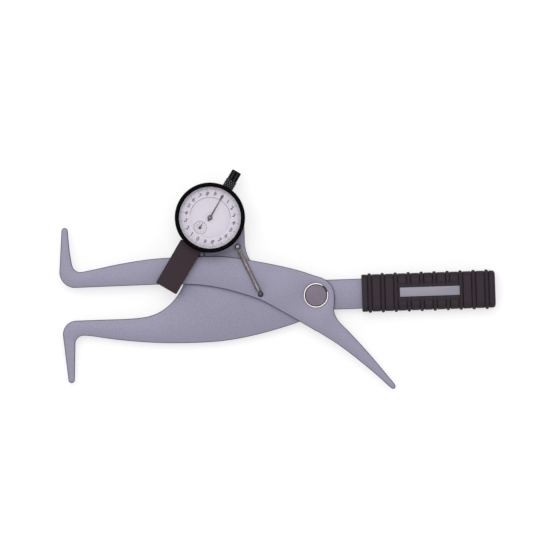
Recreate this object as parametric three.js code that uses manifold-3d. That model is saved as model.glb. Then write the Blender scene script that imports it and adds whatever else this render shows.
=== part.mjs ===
// Inside dial caliper: two flat steel jaws on one pivot, a dial indicator on the rear jaw and a ribbed grip.
// Millimetres. X runs along the tool with the grip at +X, Y is up when the dial is read, and Z points at
// the reader.
// The origin is the middle of the rear face of the pivot's flange.
import * as THREE from "three";
import { mergeVertices } from "three/addons/utils/BufferGeometryUtils.js";
import Module from "manifold-3d";

const wasm = await Module();
wasm.setup();

// Clearances and cuts
const runningGap = 0.2;
const seatGap = 0.3;
const overrun = 1;

// Jaw plates
const plateThickness = 4;
const plateEdge = 0.6;
const jawReach = 205;
const jawTipRadius = 2.5;
const triggerReach = 96;
const triggerTipRadius = 2.8;
const tangWidth = 24;
const tangLength = 80;
const tangCorner = 3;

// Pivot
const pivotRadius = 8.9;
const pivotEyeRadius = 14.7;
const pivotStand = 2.6;
const pivotChamfer = 0.5;
const flangeRim = 3.1;
const flangeThickness = 3;
const snapRingHeight = 1.1;
const snapRingWidth = 1.7;
const snapRingProud = 1;
const snapRingGapStart = 20;
const snapRingGapEnd = 52;
const washerThickness = 0.4;
const washerInset = 1.1;

// Grip
const gripLength = 106.7;
const gripEdgeWall = 2.7;
const gripFaceWall = 6;
const gripCorner = 5.5;
const gripTilt = 1.9;
const gripStart = 36.8;
const gripRise = 1.4;
const gripEndRound = 2.4;
const ribCount = 10;
const ribPitch = 10.4;
const ribStart = 6.3;
const ribHeight = 1;
const ribWidth = 3.1;
const ribTopWidth = 1.9;
const panelHeight = 14.2;
const panelDepth = 0.5;
const aheadRibCount = 3;
const panelRibCount = 4;
const labelHeight = 7.6;
const labelThickness = 0.8;
const labelSink = 0.6;
const labelInset = 2.25;
const labelOffset = 0.9;

// Dial indicator body
const dialTilt = 30;
const movementRoom = 2.64;
const bezelOverhang = 2.4;
const bezelChamfer = 1.1;
const bezelLip = 3.4;
const bezelWall = 2.1;
const caseWall = 1.6;
const caseBackThickness = 1.6;
const glassThickness = 1.3;
const glassDepth = 0.5;
const glassClearance = 1.7;
const faceThickness = 0.5;
const faceRingWidth = 9;
const handClearance = 1.2;
const stemRadius = 4;
const stemProud = 8.4;
const stemFlangeWidth = 1.4;
const stemFlangeThickness = 1.2;

// Dust cap on the upper end of the spindle
const collarRadius = 4.5;
const collarLength = 8.9;
const collarRidges = 20;
const collarRidgeDepth = 0.25;
const capRadius = 4;
const capLength = 8.3;
const capFlutes = 10;
const capFluteDepth = 0.45;
const capWall = 1.2;
const spigotLength = 2;
const spigotWall = 0.5;

// Spindle with its rack
const spindleRadius = 2.4;
const spindleHeadroom = 3;
const anvilThickness = 2;
const anvilDepth = 4.6;
const anvilLeft = 8;
const anvilRight = 4.6;
const anvilDrop = 4;
const jawSwing = 12;

// Spindle cover
const coverWidth = 18.6;
const coverShift = 2.2;
const coverMargin = 0.95;
const coverWall = 1.1;
const coverEdge = 0.5;
const coverRootGap = 0.7;
const coverRootLength = 5.1;
const coverRootInset = 1.3;
const coverLift = 1;
const coverHeadroom = 1.9;

// Pins, posts and screws
const drivePinRadius = 2;
const drivePinShank = 1.4;
const drivePinOffset = 6;
const drivePinProud = 0.6;
const drivePinInset = 4.15;
const pinLift = 0.15;
const stopPinRadius = 1.6;
const stopPinClear = 1.06;
const stopPinHeight = 5.2;
const postRadius = 1.5;
const postHeadRadius = 2;
const postHeadThickness = 0.8;
const screwRadius = 1.3;
const screwHeadRadius = 2.7;
const screwHeadThickness = 2.2;
const screwSlotWidth = 0.8;
const screwSlotDepth = 0.8;
const dialScrewInset = 6;
const dialScrewCount = 3;
const bossRadius = 2.8;
const bossHeight = 2.6;

// Spring that opens the jaws
const wireRadius = 0.35;
const coilRadius = 1.8;
const coilPitch = 1.16;
const coilTurns = 29;
const springLift = 0.5;
const hookLead = 1;

// Movement
const gearModule = 0.5;
const gearBacklash = 0.22;
const gearClearance = 0.14;
const rackPinionTeeth = 20;
const rackWheelTeeth = 36;
const centrePinionTeeth = 12;
const counterWheelTeeth = 33;
const counterBearing = 254.5;
const rackPinionWidth = 2.5;
const wheelWidth = 0.8;
const centrePinionWidth = 2;
const arborRadius = 0.75;
const pivotPinRadius = 0.6;
const platineGap = 3;
const platineThickness = 1;
const platineSpace = 2.5;
const pillarRadius = 1.9;
const pillarInset = 2.8;
const pillarBearingShares = [0.055, 0.528, 0.89];
const pillarScrewRadius = 0.8;
const pillarScrewHead = 1.5;
const pillarScrewHeadThickness = 0.4;
const pillarScrewDepth = 3;
const hairspringTurns = 3.5;
const hairspringInner = 1.3;
const hairspringOuter = 4.6;
const hairspringStrip = 0.22;
const hairspringHeight = 0.5;
const studRadius = 0.5;
const guidePinRadius = 0.8;
const guidePinInset = 5;
const guideGrooveDepth = 0.8;
const returnWireRadius = 0.25;
const returnCoilRadius = 1.2;
const returnCoilTurns = 8;
const returnPostRadius = 0.8;
const returnPostInset = 5;
const returnHookLead = 1.2;
const returnClear = 1.1;

// Hands
const mainHandShort = 3.9;
const mainHandThickness = 0.3;
const mainHandHubRadius = 1.9;
const mainHandHubHeight = 1.4;
const smallHandLength = 4.5;
const smallHandTail = 1.2;
const smallHandBearing = 2;
const smallHandThickness = 0.25;
const smallHandHubRadius = 1.25;

// Smoothness of round forms
const fineSides = 48;
const boreSides = 32;
const pinSides = 16;
const smallSides = 10;
const curlSteps = 8;
const wireSides = 5;
const weldDistance = 1e-5;

// Radii and lengths that follow from the sizes above
const flangeRadius = pivotRadius + flangeRim;
const washerRadius = pivotEyeRadius - washerInset;
const gripHeight = tangWidth + 2 * gripEdgeWall;
const gripThickness = plateThickness + 2 * gripFaceWall;
const pitchRadius = (teeth) => (gearModule * teeth) / 2;
const tipRadius = (teeth) => pitchRadius(teeth) + gearModule - gearClearance;
const rackWheelDistance = pitchRadius(rackWheelTeeth + centrePinionTeeth);
const caseInner = rackWheelDistance + tipRadius(rackWheelTeeth) + movementRoom;
const caseRadius = caseInner + caseWall;
const bezelRadius = caseRadius + bezelOverhang;
const faceRadius = bezelRadius - bezelWall - 3 * seatGap;
const faceInnerRadius = faceRadius - faceRingWidth;
const mainHandLength = faceRadius - mainHandShort;
const platineRadius = caseInner - platineGap;
const pillarCircle = platineRadius - pillarInset;
const dialScrewCircle = caseInner - dialScrewInset;

// Places along the spindle, from the dial's centre
const collarEnd = caseRadius + collarLength;
const capEnd = collarEnd + capLength;
const spindleTop = capEnd - capWall - spindleHeadroom;
const guidePinPlace = caseInner - guidePinInset;
const returnPostPlace = caseInner - returnPostInset;
const stemEnd = caseRadius + stemProud;
const anvilReach = stemEnd + anvilDrop;
const drivePinPlace = anvilReach + pinLift + drivePinRadius;
const dialStandOff = drivePinPlace - drivePinInset;
const coverRootStart = caseRadius + coverRootGap;
const coverRootEnd = coverRootStart + coverRootLength;

// Levels along Z
const frameBack = flangeThickness;
const frameFront = frameBack + plateThickness;
const plateGap = washerThickness + runningGap;
const leverBack = frameFront + plateGap;
const leverFront = leverBack + plateThickness;
const plateMiddle = (frameBack + frameFront) / 2;
const gripFront = plateMiddle + gripThickness / 2;
const pivotEnd = leverFront + pivotStand;
const backFront = frameFront + caseBackThickness;
const returnCoilDepth = 2 * (returnCoilRadius + returnWireRadius);
const returnLevel = backFront + returnClear + returnCoilDepth / 2;
const stemLevel = returnLevel + returnCoilDepth / 2 + runningGap + seatGap + spindleRadius;
const drivePinTop = stemLevel + anvilDepth / 2 + drivePinProud;
const coverBack = leverFront + coverLift;
const coverFront = drivePinTop + coverHeadroom + coverWall;
const bezelBack = coverFront + seatGap + runningGap;
const rearPlatineBack = stemLevel + spindleRadius + 2 * runningGap;
const rearPlatineFront = rearPlatineBack + platineThickness;
const frontPlatineBack = rearPlatineFront + platineSpace;
const frontPlatineFront = frontPlatineBack + platineThickness;
const wheelLevel = rearPlatineFront + 2 * runningGap;
const caseTop = frontPlatineFront + pillarScrewHeadThickness;
const faceBack = caseTop + runningGap;
const faceFront = faceBack + faceThickness;
const handsTop = faceFront + handClearance + mainHandHubHeight;
const glassBack = handsTop + glassClearance;
const bezelFront = glassBack + runningGap + glassThickness + glassDepth;

const degrees = (angle) => THREE.MathUtils.degToRad(angle);
const turned = (angle, radius) => new THREE.Vector2(Math.cos(angle) * radius, Math.sin(angle) * radius);
const flat = (x, y) => new THREE.Vector2(x, y);
const fromShares = (shares, size) => shares.map(([x, y]) => flat(x * size, y * size));

// An arc of a circle as outline points, its angles in degrees
function arc(centre, radius, start, end, steps) {
  const points = [];
  for (let i = 0; i <= steps; i++) {
    const angle = degrees(start + ((end - start) * i) / steps);
    points.push(turned(angle, radius).add(centre));
  }
  return points;
}

// A smooth curve through outline points
function smooth(points, steps) {
  const through = points.map((p) => new THREE.Vector3(p.x, p.y, 0));
  const curve = new THREE.CatmullRomCurve3(through, false, "centripetal");
  return curve.getPoints(steps).map((p) => flat(p.x, p.y));
}

// A geometry as a solid, with flat triangles left out and its faces turned outwards
function solid(geometry) {
  const bare = new THREE.BufferGeometry();
  bare.setAttribute("position", geometry.getAttribute("position"));
  if (geometry.index) bare.setIndex(geometry.index);
  const merged = mergeVertices(bare, weldDistance);
  const kept = [];
  const index = merged.index.array;
  for (let i = 0; i < index.length; i += 3) {
    const [a, b, c] = [index[i], index[i + 1], index[i + 2]];
    if (a !== b && b !== c && c !== a) kept.push(a, b, c);
  }
  const vertProperties = new Float32Array(merged.attributes.position.array);
  const build = (list) => {
    const mesh = new wasm.Mesh({ numProp: 3, vertProperties, triVerts: new Uint32Array(list) });
    return new wasm.Manifold(mesh);
  };
  const made = build(kept);
  if (made.volume() > 0) return made;
  for (let i = 0; i < kept.length; i += 3) [kept[i + 1], kept[i + 2]] = [kept[i + 2], kept[i + 1]];
  return build(kept);
}

// A solid back as a geometry
function geometryOf(made) {
  const mesh = made.getMesh();
  const geometry = new THREE.BufferGeometry();
  geometry.setAttribute("position", new THREE.BufferAttribute(mesh.vertProperties, 3));
  geometry.setIndex(new THREE.BufferAttribute(mesh.triVerts, 1));
  const open = geometry.toNonIndexed();
  open.computeVertexNormals();
  return open;
}

const join = (...solids) => solids.reduce((whole, piece) => whole.add(piece));
const cut = (whole, ...tools) => tools.reduce((left, tool) => left.subtract(tool), whole);

// An outline pulled up from one level to another, with its rims bevelled by edge
function slab(points, back, front, edge = 0) {
  const shape = new THREE.Shape(points);
  const settings = {
    depth: front - back - 2 * edge,
    bevelEnabled: edge > 0,
    bevelThickness: edge,
    bevelSize: edge,
    bevelOffset: -edge,
    bevelSegments: 1,
    curveSegments: 1,
  };
  return solid(new THREE.ExtrudeGeometry(shape, settings).translate(0, 0, back + edge));
}

// A revolved body about an axis along Z at (x, y), from points of radius and level
function revolved(profile, sides, x = 0, y = 0) {
  const points = profile.map(([radius, level]) => flat(radius, level));
  return solid(new THREE.LatheGeometry(points, sides).rotateX(Math.PI / 2).translate(x, y, 0));
}

// The same about an axis along Y at the level of the stem
function revolvedAlongY(profile, sides) {
  const points = profile.map(([radius, place]) => flat(radius, place));
  return solid(new THREE.LatheGeometry(points, sides).translate(0, 0, stemLevel));
}

// A plain round rod along Z
function rod(radius, back, front, sides, x = 0, y = 0) {
  return revolved([[0, back], [radius, back], [radius, front], [0, front]], sides, x, y);
}

// A round hole right through a plate, at a place or on the axis
function hole(radius, back, front, sides, place = flat(0, 0)) {
  return rod(radius, back - overrun, front + overrun, sides, place.x, place.y);
}

// A plain round bar or bore along Y at the level of the stem
function barAlongY(radius, start, end) {
  return revolvedAlongY([[0, start], [radius, start], [radius, end], [0, end]], pinSides);
}

// A block between two opposite corners
function block(low, high) {
  const [x, y, z] = high.map((value, i) => value - low[i]);
  const middle = high.map((value, i) => (value + low[i]) / 2);
  return solid(new THREE.BoxGeometry(x, y, z).translate(...middle));
}

const root = new THREE.Group();
const grip = new THREE.Group();
const dial = new THREE.Group();
root.add(grip, dial);

// A finished piece with its own material, put in its group
function piece(group, name, made, finish) {
  const mesh = new THREE.Mesh(geometryOf(made), new THREE.MeshStandardMaterial(finish));
  mesh.name = name;
  group.add(mesh);
}

// Where the dial stands: its stem looks at one point of the lever's upper edge
const stemCrossingShares = [[-0.5005, 0.15]];
const [stemCrossing] = fromShares(stemCrossingShares, jawReach);
const dialUp = turned(degrees(90 - dialTilt), 1);
const dialRight = turned(degrees(-dialTilt), 1);
const dialCentre = stemCrossing.clone().addScaledVector(dialUp, dialStandOff);
const fromDial = (x, y) => dialCentre.clone().addScaledVector(dialRight, x).addScaledVector(dialUp, y);
dial.position.set(dialCentre.x, dialCentre.y, 0);
dial.rotation.z = degrees(-dialTilt);

// The grip's own frame starts at the middle of its open end
grip.position.set(gripStart, gripRise, 0);
grip.rotation.z = degrees(gripTilt);
const gripAlong = turned(degrees(gripTilt), 1);
const gripUp = turned(degrees(gripTilt + 90), 1);
const fromGrip = (x, y) => flat(gripStart, gripRise).addScaledVector(gripAlong, x).addScaledVector(gripUp, y);

// Places of pins and posts that two pieces share
const drivePin = fromDial(-drivePinOffset, -drivePinPlace);
const springPinShares = [[-0.2166, 0.0044]];
const anchorShares = [[-0.3063, 0.1902]];
const [springPin] = fromShares(springPinShares, jawReach);
const [anchor] = fromShares(anchorShares, jawReach);
const springLevel = leverFront + springLift + coilRadius + wireRadius;
const postTop = springLevel + wireRadius + seatGap;
const dialScrews = Array.from({ length: dialScrewCount }, (_, i) =>
  turned((2 * Math.PI * i) / dialScrewCount, dialScrewCircle),
);
const coverLeft = -coverShift - coverWidth / 2;
const coverRight = coverLeft + coverWidth;
const coverScrewShares = [-0.075, 0.215];
const coverScrewLine = -(coverRootStart + coverRootEnd) / 2;
const coverScrews = coverScrewShares.map((share) => flat(share * coverWidth, coverScrewLine));

// Rear jaw: its tip, belly, tang and the tower that carries the dial, as one plate
const rearTipShares = [[-0.9545, -0.3307]];
const rearOuterShares = [[-0.9346, -0.1527]];
const rearOuterBendShare = 0.0537;
const rearInnerShares = [[-0.9083, -0.1893]];
const rearInnerBendShare = 0.0317;
const rearBackShares = [
  [-0.8117, -0.0946],
  [-0.718, -0.0907],
  [-0.6478, -0.0805],
  [-0.601, -0.0595],
  [-0.5541, -0.0185],
  [-0.5195, 0.0385],
  [-0.5054, 0.0878],
];
const towerNeckShares = [
  [-0.278, 0.202],
  [-0.2735, 0.1768],
  [-0.2625, 0.1475],
  [-0.2317, 0.1073],
  [-0.1756, 0.0741],
  [-0.0976, 0.0622],
];
const bellyShares = [
  [0.0195, -0.0683],
  [-0.0663, -0.1039],
  [-0.1561, -0.1332],
  [-0.2634, -0.161],
  [-0.3668, -0.1785],
  [-0.4878, -0.1859],
  [-0.6244, -0.1854],
  [-0.7649, -0.1746],
  [-0.882, -0.159],
];

function rearOutline() {
  const padRadius = bezelRadius - plateEdge - seatGap;
  const [tip] = fromShares(rearTipShares, jawReach);
  const [outer] = fromShares(rearOuterShares, jawReach);
  const [inner] = fromShares(rearInnerShares, jawReach);
  const outerBend = rearOuterBendShare * jawReach;
  const innerBend = rearInnerBendShare * jawReach;
  const back = fromShares(rearBackShares, jawReach);
  const towerLeft = back.at(-1).x;
  const padStart = 180 + THREE.MathUtils.radToDeg(Math.acos((dialCentre.x - towerLeft) / padRadius));
  const neck = fromShares(towerNeckShares, jawReach);
  const tang = tangWidth / 2;
  return [
    ...arc(tip, jawTipRadius, 0, -180, 6),
    ...arc(outer, outerBend, 184, 92, 6),
    ...smooth(back, 12),
    ...arc(dialCentre, padRadius, padStart, 0, 20),
    ...smooth([...neck, fromGrip(tang - gripStart, tang)], 12),
    ...arc(fromGrip(tangLength - tangCorner, tang - tangCorner), tangCorner, 90 + gripTilt, gripTilt, 3),
    ...arc(fromGrip(tangLength - tangCorner, tangCorner - tang), tangCorner, gripTilt, gripTilt - 90, 3),
    fromGrip(-seatGap, -tang),
    ...smooth([fromGrip(tang - gripStart + tangCorner, -tang), ...fromShares(bellyShares, jawReach)], 18),
    ...arc(inner, innerBend, 90, 180, 5),
  ];
}

function framePlate() {
  const holes = [
    hole(pivotRadius + seatGap, frameBack, frameFront, boreSides),
    hole(stopPinRadius + seatGap, frameBack, frameFront, pinSides, stopPin),
    hole(postRadius + seatGap, frameBack, frameFront, pinSides, anchor),
  ];
  for (const { x, y } of [...dialScrews, ...coverScrews])
    holes.push(hole(screwRadius + seatGap, frameBack, frameFront, smallSides, fromDial(x, y)));
  return cut(slab(rearOutline(), frameBack, frameFront, plateEdge), ...holes);
}

// Front jaw: its tip, arm, pivot eye and finger trigger, as one plate
const frontTipShares = [[-0.981, 0.2507]];
const frontOuterShares = [[-0.9395, 0.0905]];
const frontOuterBendShare = 0.0615;
const frontBackShares = [
  [-0.9629, 0.1854],
  [-0.9556, 0.1366],
  [-0.9463, 0.1044],
  [-0.9268, 0.0912],
  [-0.8976, 0.0944],
  [-0.7883, 0.118],
  [-0.718, 0.1307],
  [-0.6478, 0.141],
  [-0.5776, 0.1468],
  [-0.4215, 0.1527],
  [-0.3415, 0.1507],
  [-0.2498, 0.1361],
  [-0.1561, 0.1185],
  [-0.0624, 0.0961],
];
const leverEdge = smooth(fromShares(frontBackShares, jawReach), 60);

// Height of the front jaw's upper edge at a place along the tool
function edgeHeight(x) {
  const next = leverEdge.findIndex((point) => point.x >= x);
  const [before, after] = [leverEdge[next - 1], leverEdge[next]];
  return before.y + ((after.y - before.y) * (x - before.x)) / (after.x - before.x);
}

// The stop pin stands beside the cover's root, just clear of the front jaw's upper edge
function stopPinPlace() {
  const aside = coverRight - coverRootInset + stopPinRadius + stopPinClear;
  const reach = stopPinRadius + runningGap;
  let near = caseInner;
  let far = drivePinPlace;
  for (let i = 0; i < 40; i++) {
    const middle = (near + far) / 2;
    const place = fromDial(aside, -middle);
    if (place.y - edgeHeight(place.x) > reach) near = middle;
    else far = middle;
  }
  return fromDial(aside, -near);
}

const stopPin = stopPinPlace();
const triggerFrontShares = [
  [0.151, -0.13],
  [0.1854, -0.2052],
  [0.2667, -0.2885],
  [0.4261, -0.4552],
  [0.5688, -0.6219],
];
const triggerTipShares = [[0.6375, -0.7521]];
const triggerTipHeading = 43;
const triggerBackShares = [
  [0.4583, -0.6323],
  [0.1667, -0.4042],
];
const frontBellyShares = [
  [-0.0663, -0.1005],
  [-0.1405, -0.0585],
  [-0.2166, -0.018],
  [-0.28, 0.0034],
  [-0.3434, 0.0212],
  [-0.4198, 0.036],
  [-0.4917, 0.0424],
  [-0.6478, 0.041],
];

function leverOutline() {
  const [tip] = fromShares(frontTipShares, jawReach);
  const [outer] = fromShares(frontOuterShares, jawReach);
  const [triggerTip] = fromShares(triggerTipShares, triggerReach);
  const outerBend = frontOuterBendShare * jawReach;
  const right = flat(pivotEyeRadius, -pivotEyeRadius / 2);
  const front = fromShares(triggerFrontShares, triggerReach);
  const back = fromShares(triggerBackShares, triggerReach);
  const tipStart = tip.clone().add(flat(jawTipRadius, 0));
  const heading = triggerTipHeading;
  const leaving = triggerTip.clone().add(turned(degrees(heading), triggerTipRadius));
  const returning = triggerTip.clone().add(turned(degrees(heading + 180), triggerTipRadius));
  return [
    ...arc(tip, jawTipRadius, 180, 10, 6),
    ...smooth([tipStart, ...fromShares(frontBackShares, jawReach), turned(degrees(62), pivotEyeRadius)], 30),
    ...arc(flat(0, 0), pivotEyeRadius, 56, 0, 6),
    ...smooth([right, ...front, leaving], 12),
    ...arc(triggerTip, triggerTipRadius, heading - 25, heading - 155, 5),
    ...smooth([returning, ...back, ...fromShares(frontBellyShares, jawReach)], 20),
    ...arc(outer, outerBend, 268, 180, 7),
  ];
}

function leverPlate() {
  const holes = [
    hole(pivotRadius + seatGap, leverBack, leverFront, boreSides),
    hole(drivePinShank + seatGap, leverBack, leverFront, pinSides, drivePin),
    hole(postRadius + seatGap, leverBack, leverFront, pinSides, springPin),
  ];
  return cut(slab(leverOutline(), leverBack, leverFront, plateEdge), ...holes);
}

// Pivot: a flanged stud with a groove for the wire ring that keeps the front jaw on it
const grooveBack = leverFront + runningGap;
const grooveFront = grooveBack + snapRingHeight + 2 * runningGap;
const grooveRadius = pivotRadius + snapRingProud - snapRingWidth - runningGap;

function pivotStud() {
  return revolved(
    [
      [0, 0],
      [flangeRadius - pivotChamfer, 0],
      [flangeRadius, pivotChamfer],
      [flangeRadius, flangeThickness],
      [pivotRadius, flangeThickness],
      [pivotRadius, grooveBack],
      [grooveRadius, grooveBack],
      [grooveRadius, grooveFront],
      [pivotRadius, grooveFront],
      [pivotRadius, pivotEnd - pivotChamfer],
      [pivotRadius - pivotChamfer, pivotEnd],
      [0, pivotEnd],
    ],
    boreSides,
  );
}

function snapRing() {
  const outerRadius = pivotRadius + snapRingProud;
  const innerRadius = outerRadius - snapRingWidth;
  const start = snapRingGapEnd;
  const end = 360 + snapRingGapStart;
  const centre = flat(0, 0);
  const points = [
    ...arc(centre, outerRadius, start, end, 28),
    ...arc(centre, innerRadius, end, start, 28),
  ];
  const back = grooveBack + runningGap;
  return slab(points, back, back + snapRingHeight, snapRingHeight / 4);
}

function pivotWasher() {
  const back = frameFront + runningGap / 2;
  const front = back + washerThickness;
  const disc = rod(washerRadius, back, front, boreSides);
  return cut(disc, hole(pivotRadius + seatGap, back, front, boreSides));
}

// A pin with a thinner shank in the plate and, if it has one, a head at its outer end
function shouldered(place, [plateBack, plateFront], shank, radius, top, head = radius) {
  const neck = top - postHeadThickness;
  return revolved(
    [
      [0, plateBack],
      [shank, plateBack],
      [shank, plateFront],
      [radius, plateFront],
      [radius, neck],
      [head, neck],
      [head, top],
      [0, top],
    ],
    pinSides,
    place.x,
    place.y,
  );
}

// A slotted cheese-head screw put in from behind the tower, its head on the plate's rear face
function screw(place, tip) {
  const headBack = frameBack - screwHeadThickness;
  const body = revolved(
    [
      [0, headBack],
      [screwHeadRadius, headBack],
      [screwHeadRadius, frameBack],
      [screwRadius, frameBack],
      [screwRadius, tip],
      [0, tip],
    ],
    smallSides,
    place.x,
    place.y,
  );
  const half = screwSlotWidth / 2;
  const reach = screwHeadRadius + overrun;
  const slot = block(
    [place.x - reach, place.y - half, headBack - overrun],
    [place.x + reach, place.y + half, headBack + screwSlotDepth],
  );
  return cut(body, slot);
}

// Grip: a ribbed sleeve lofted along the tang from rounded sections
function sectionPoints(grow) {
  const halfHeight = gripHeight / 2 + grow;
  const halfThickness = gripThickness / 2 + grow;
  const corner = gripCorner + grow;
  const points = [];
  const corners = [
    [1, 1, 0],
    [-1, 1, 90],
    [-1, -1, 180],
    [1, -1, 270],
  ];
  for (const [sideY, sideZ, start] of corners) {
    const centre = flat(sideY * (halfHeight - corner), sideZ * (halfThickness - corner));
    points.push(...arc(centre, corner, start, start + 90, 4));
  }
  return points;
}

function loft(stations) {
  const rings = stations.map(({ x, grow }) => sectionPoints(grow).map((p) => [x, p.x, p.y + plateMiddle]));
  const count = rings[0].length;
  const positions = rings.flat(2);
  const index = [];
  for (let r = 0; r + 1 < rings.length; r++)
    for (let i = 0; i < count; i++) {
      const [a, b] = [r * count + i, r * count + ((i + 1) % count)];
      index.push(a, a + count, b, b, a + count, b + count);
    }
  const last = (rings.length - 1) * count;
  for (let i = 1; i + 1 < count; i++) index.push(0, i, i + 1, last, last + i + 1, last + i);
  const geometry = new THREE.BufferGeometry();
  geometry.setAttribute("position", new THREE.Float32BufferAttribute(positions, 3));
  geometry.setIndex(index);
  return solid(geometry);
}

function gripStations() {
  const chamfer = gripEndRound / 2;
  const stations = [
    { x: 0, grow: -chamfer / 2 },
    { x: chamfer / 2, grow: 0 },
  ];
  for (let i = 0; i < ribCount; i++) {
    const middle = ribStart + i * ribPitch;
    stations.push(
      { x: middle - ribWidth / 2, grow: 0 },
      { x: middle - ribTopWidth / 2, grow: ribHeight },
      { x: middle + ribTopWidth / 2, grow: ribHeight },
      { x: middle + ribWidth / 2, grow: 0 },
    );
  }
  stations.push(
    { x: gripLength - gripEndRound, grow: 0 },
    { x: gripLength - chamfer / 2, grow: -chamfer },
    { x: gripLength, grow: -gripEndRound },
  );
  return stations;
}

const panelStart = ribStart + (aheadRibCount - 1) * ribPitch + ribTopWidth / 2;
const panelEnd = ribStart + (aheadRibCount + panelRibCount) * ribPitch - ribTopWidth / 2;
const panelLevel = gripFront - panelDepth;
const labelStart = panelStart + labelInset;
const labelEnd = panelEnd - seatGap;

function gripSleeve() {
  const pocket = block(
    [-overrun, -tangWidth / 2 - seatGap, frameBack - seatGap],
    [tangLength + seatGap, tangWidth / 2 + seatGap, frameFront + seatGap],
  );
  const halfPanel = panelHeight / 2;
  const panel = block(
    [panelStart, -halfPanel, panelLevel],
    [panelEnd, halfPanel, gripFront + 2 * ribHeight],
  );
  const half = labelHeight / 2 + seatGap;
  const recess = block(
    [labelStart - seatGap, labelOffset - half, panelLevel - labelSink],
    [labelEnd + seatGap, labelOffset + half, gripFront + overrun],
  );
  return cut(loft(gripStations()), pocket, panel, recess);
}

function labelPlate() {
  const back = panelLevel - labelSink + seatGap;
  const half = labelHeight / 2;
  return block([labelStart, labelOffset - half, back], [labelEnd, labelOffset + half, back + labelThickness]);
}

// Spindle cover: a moulded channel whose solid root holds the stem and is screwed to the tower
function spindleCover() {
  const [left, right] = [coverLeft, coverRight];
  const outline = [
    flat(left, -coverEnd),
    flat(right, -coverEnd),
    flat(right, -coverRootStart),
    flat(left, -coverRootStart),
  ];
  const hood = slab(outline, coverBack, coverFront, coverEdge);
  const rootBlock = block(
    [left + coverRootInset, -coverRootEnd, frameFront],
    [right - coverRootInset, -coverRootStart - coverEdge, coverFront - coverWall / 2],
  );
  const hollow = block(
    [left + coverWall, -coverEnd + coverWall, coverBack - overrun],
    [right - coverWall, -coverRootEnd, coverFront - coverWall],
  );
  const bore = barAlongY(stemRadius + seatGap, -coverRootEnd - overrun, -coverRootStart + overrun);
  const depth = stemLevel - stemRadius - 2 * seatGap;
  const holes = coverScrews.map(({ x, y }) =>
    rod(screwRadius + seatGap, frameFront - overrun, depth, smallSides, x, y),
  );
  return cut(join(cut(hood, hollow), rootBlock), bore, ...holes);
}

// Dial indicator's housing
function caseBack() {
  const disc = rod(caseInner - seatGap, frameFront, backFront, fineSides);
  const bossTop = backFront + bossHeight;
  const bosses = dialScrews.map(({ x, y }) => rod(bossRadius, frameFront, bossTop, smallSides, x, y));
  const { x, y } = rackWheel;
  const bearingRadius = 2 * arborRadius + pivotPinRadius;
  const bearing = rod(bearingRadius, frameFront, backFront + wheelWidth, smallSides, x, y);
  const bearingHole = rod(pivotPinRadius + runningGap, backFront, backFront + overrun, smallSides, x, y);
  const holes = dialScrews.map((p) =>
    rod(screwRadius + seatGap, frameFront - overrun, bossTop - seatGap, smallSides, p.x, p.y),
  );
  const groove = block(
    [-guidePinRadius - seatGap, guidePinPlace - spindleTravel - overrun, backFront - guideGrooveDepth],
    [guidePinRadius + seatGap, guidePinPlace + overrun, backFront + overrun],
  );
  return cut(join(disc, ...bosses, bearing), bearingHole, ...holes, groove);
}

function dialCase() {
  const outside = rod(caseRadius, frameFront, caseTop, fineSides);
  const inside = hole(caseInner, frameFront, caseTop, fineSides);
  const through = barAlongY(stemRadius + seatGap, -caseRadius - overrun, caseRadius + overrun);
  return cut(outside, inside, through);
}

function stem() {
  const top = -caseInner + 2 * stemFlangeThickness;
  const shoulder = top - stemFlangeThickness;
  const bore = spindleRadius + runningGap;
  return revolvedAlongY(
    [
      [bore, -stemEnd],
      [stemRadius, -stemEnd],
      [stemRadius, shoulder],
      [stemRadius + stemFlangeWidth, shoulder],
      [stemRadius + stemFlangeWidth, top],
      [bore, top],
      [bore, -stemEnd],
    ],
    pinSides,
  );
}

function bezel() {
  const lipRadius = bezelRadius - bezelLip;
  const glassSeat = bezelRadius - bezelWall;
  const bodyRadius = glassSeat - 2 * seatGap;
  const glassFront = bezelFront - glassDepth;
  const skirt = caseRadius + seatGap;
  const ledge = faceBack - runningGap / 2;
  return revolved(
    [
      [skirt, bezelBack],
      [bezelRadius, bezelBack],
      [bezelRadius, bezelFront - bezelChamfer],
      [bezelRadius - bezelChamfer, bezelFront],
      [lipRadius, bezelFront],
      [lipRadius, glassFront],
      [glassSeat, glassFront],
      [glassSeat, glassBack],
      [bodyRadius, glassBack],
      [bodyRadius, ledge],
      [skirt, ledge],
      [skirt, bezelBack],
    ],
    fineSides,
  );
}

function crystal() {
  const back = glassBack + runningGap / 2;
  return rod(bezelRadius - bezelWall - seatGap, back, back + glassThickness, fineSides);
}

function dialRing() {
  const disc = rod(faceRadius, faceBack, faceFront, fineSides);
  return cut(disc, hole(faceInnerRadius + runningGap / 2, faceBack, faceFront, fineSides));
}

function dialDisc() {
  const disc = rod(faceInnerRadius - runningGap / 2, faceBack, faceFront, fineSides);
  const centreHole = hole(arborRadius + seatGap, faceBack, faceFront, smallSides);
  const counterHole = hole(arborRadius + seatGap, faceBack, faceFront, smallSides, counter);
  return cut(disc, centreHole, counterHole);
}

// Ridged or fluted outline: count waves of the given depth round a circle
function wavy(radius, depth, count, stepsEach) {
  const steps = count * stepsEach;
  const points = [];
  for (let i = 0; i < steps; i++) {
    const angle = (2 * Math.PI * i) / steps;
    const wave = Math.cos((2 * Math.PI * (i % stepsEach)) / stepsEach) / 2 - 1 / 2;
    points.push(turned(angle, radius + depth * wave));
  }
  return points;
}

// An outline pulled along +Y from one place to another at the level of the stem
function slabAlongY(points, start, end, edge = 0) {
  const upright = slab(points, start, end, edge);
  return solid(geometryOf(upright).rotateX(-Math.PI / 2).translate(0, 0, stemLevel));
}

const capBore = spindleRadius + runningGap;
const spigotRadius = capBore + spigotWall;

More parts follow.
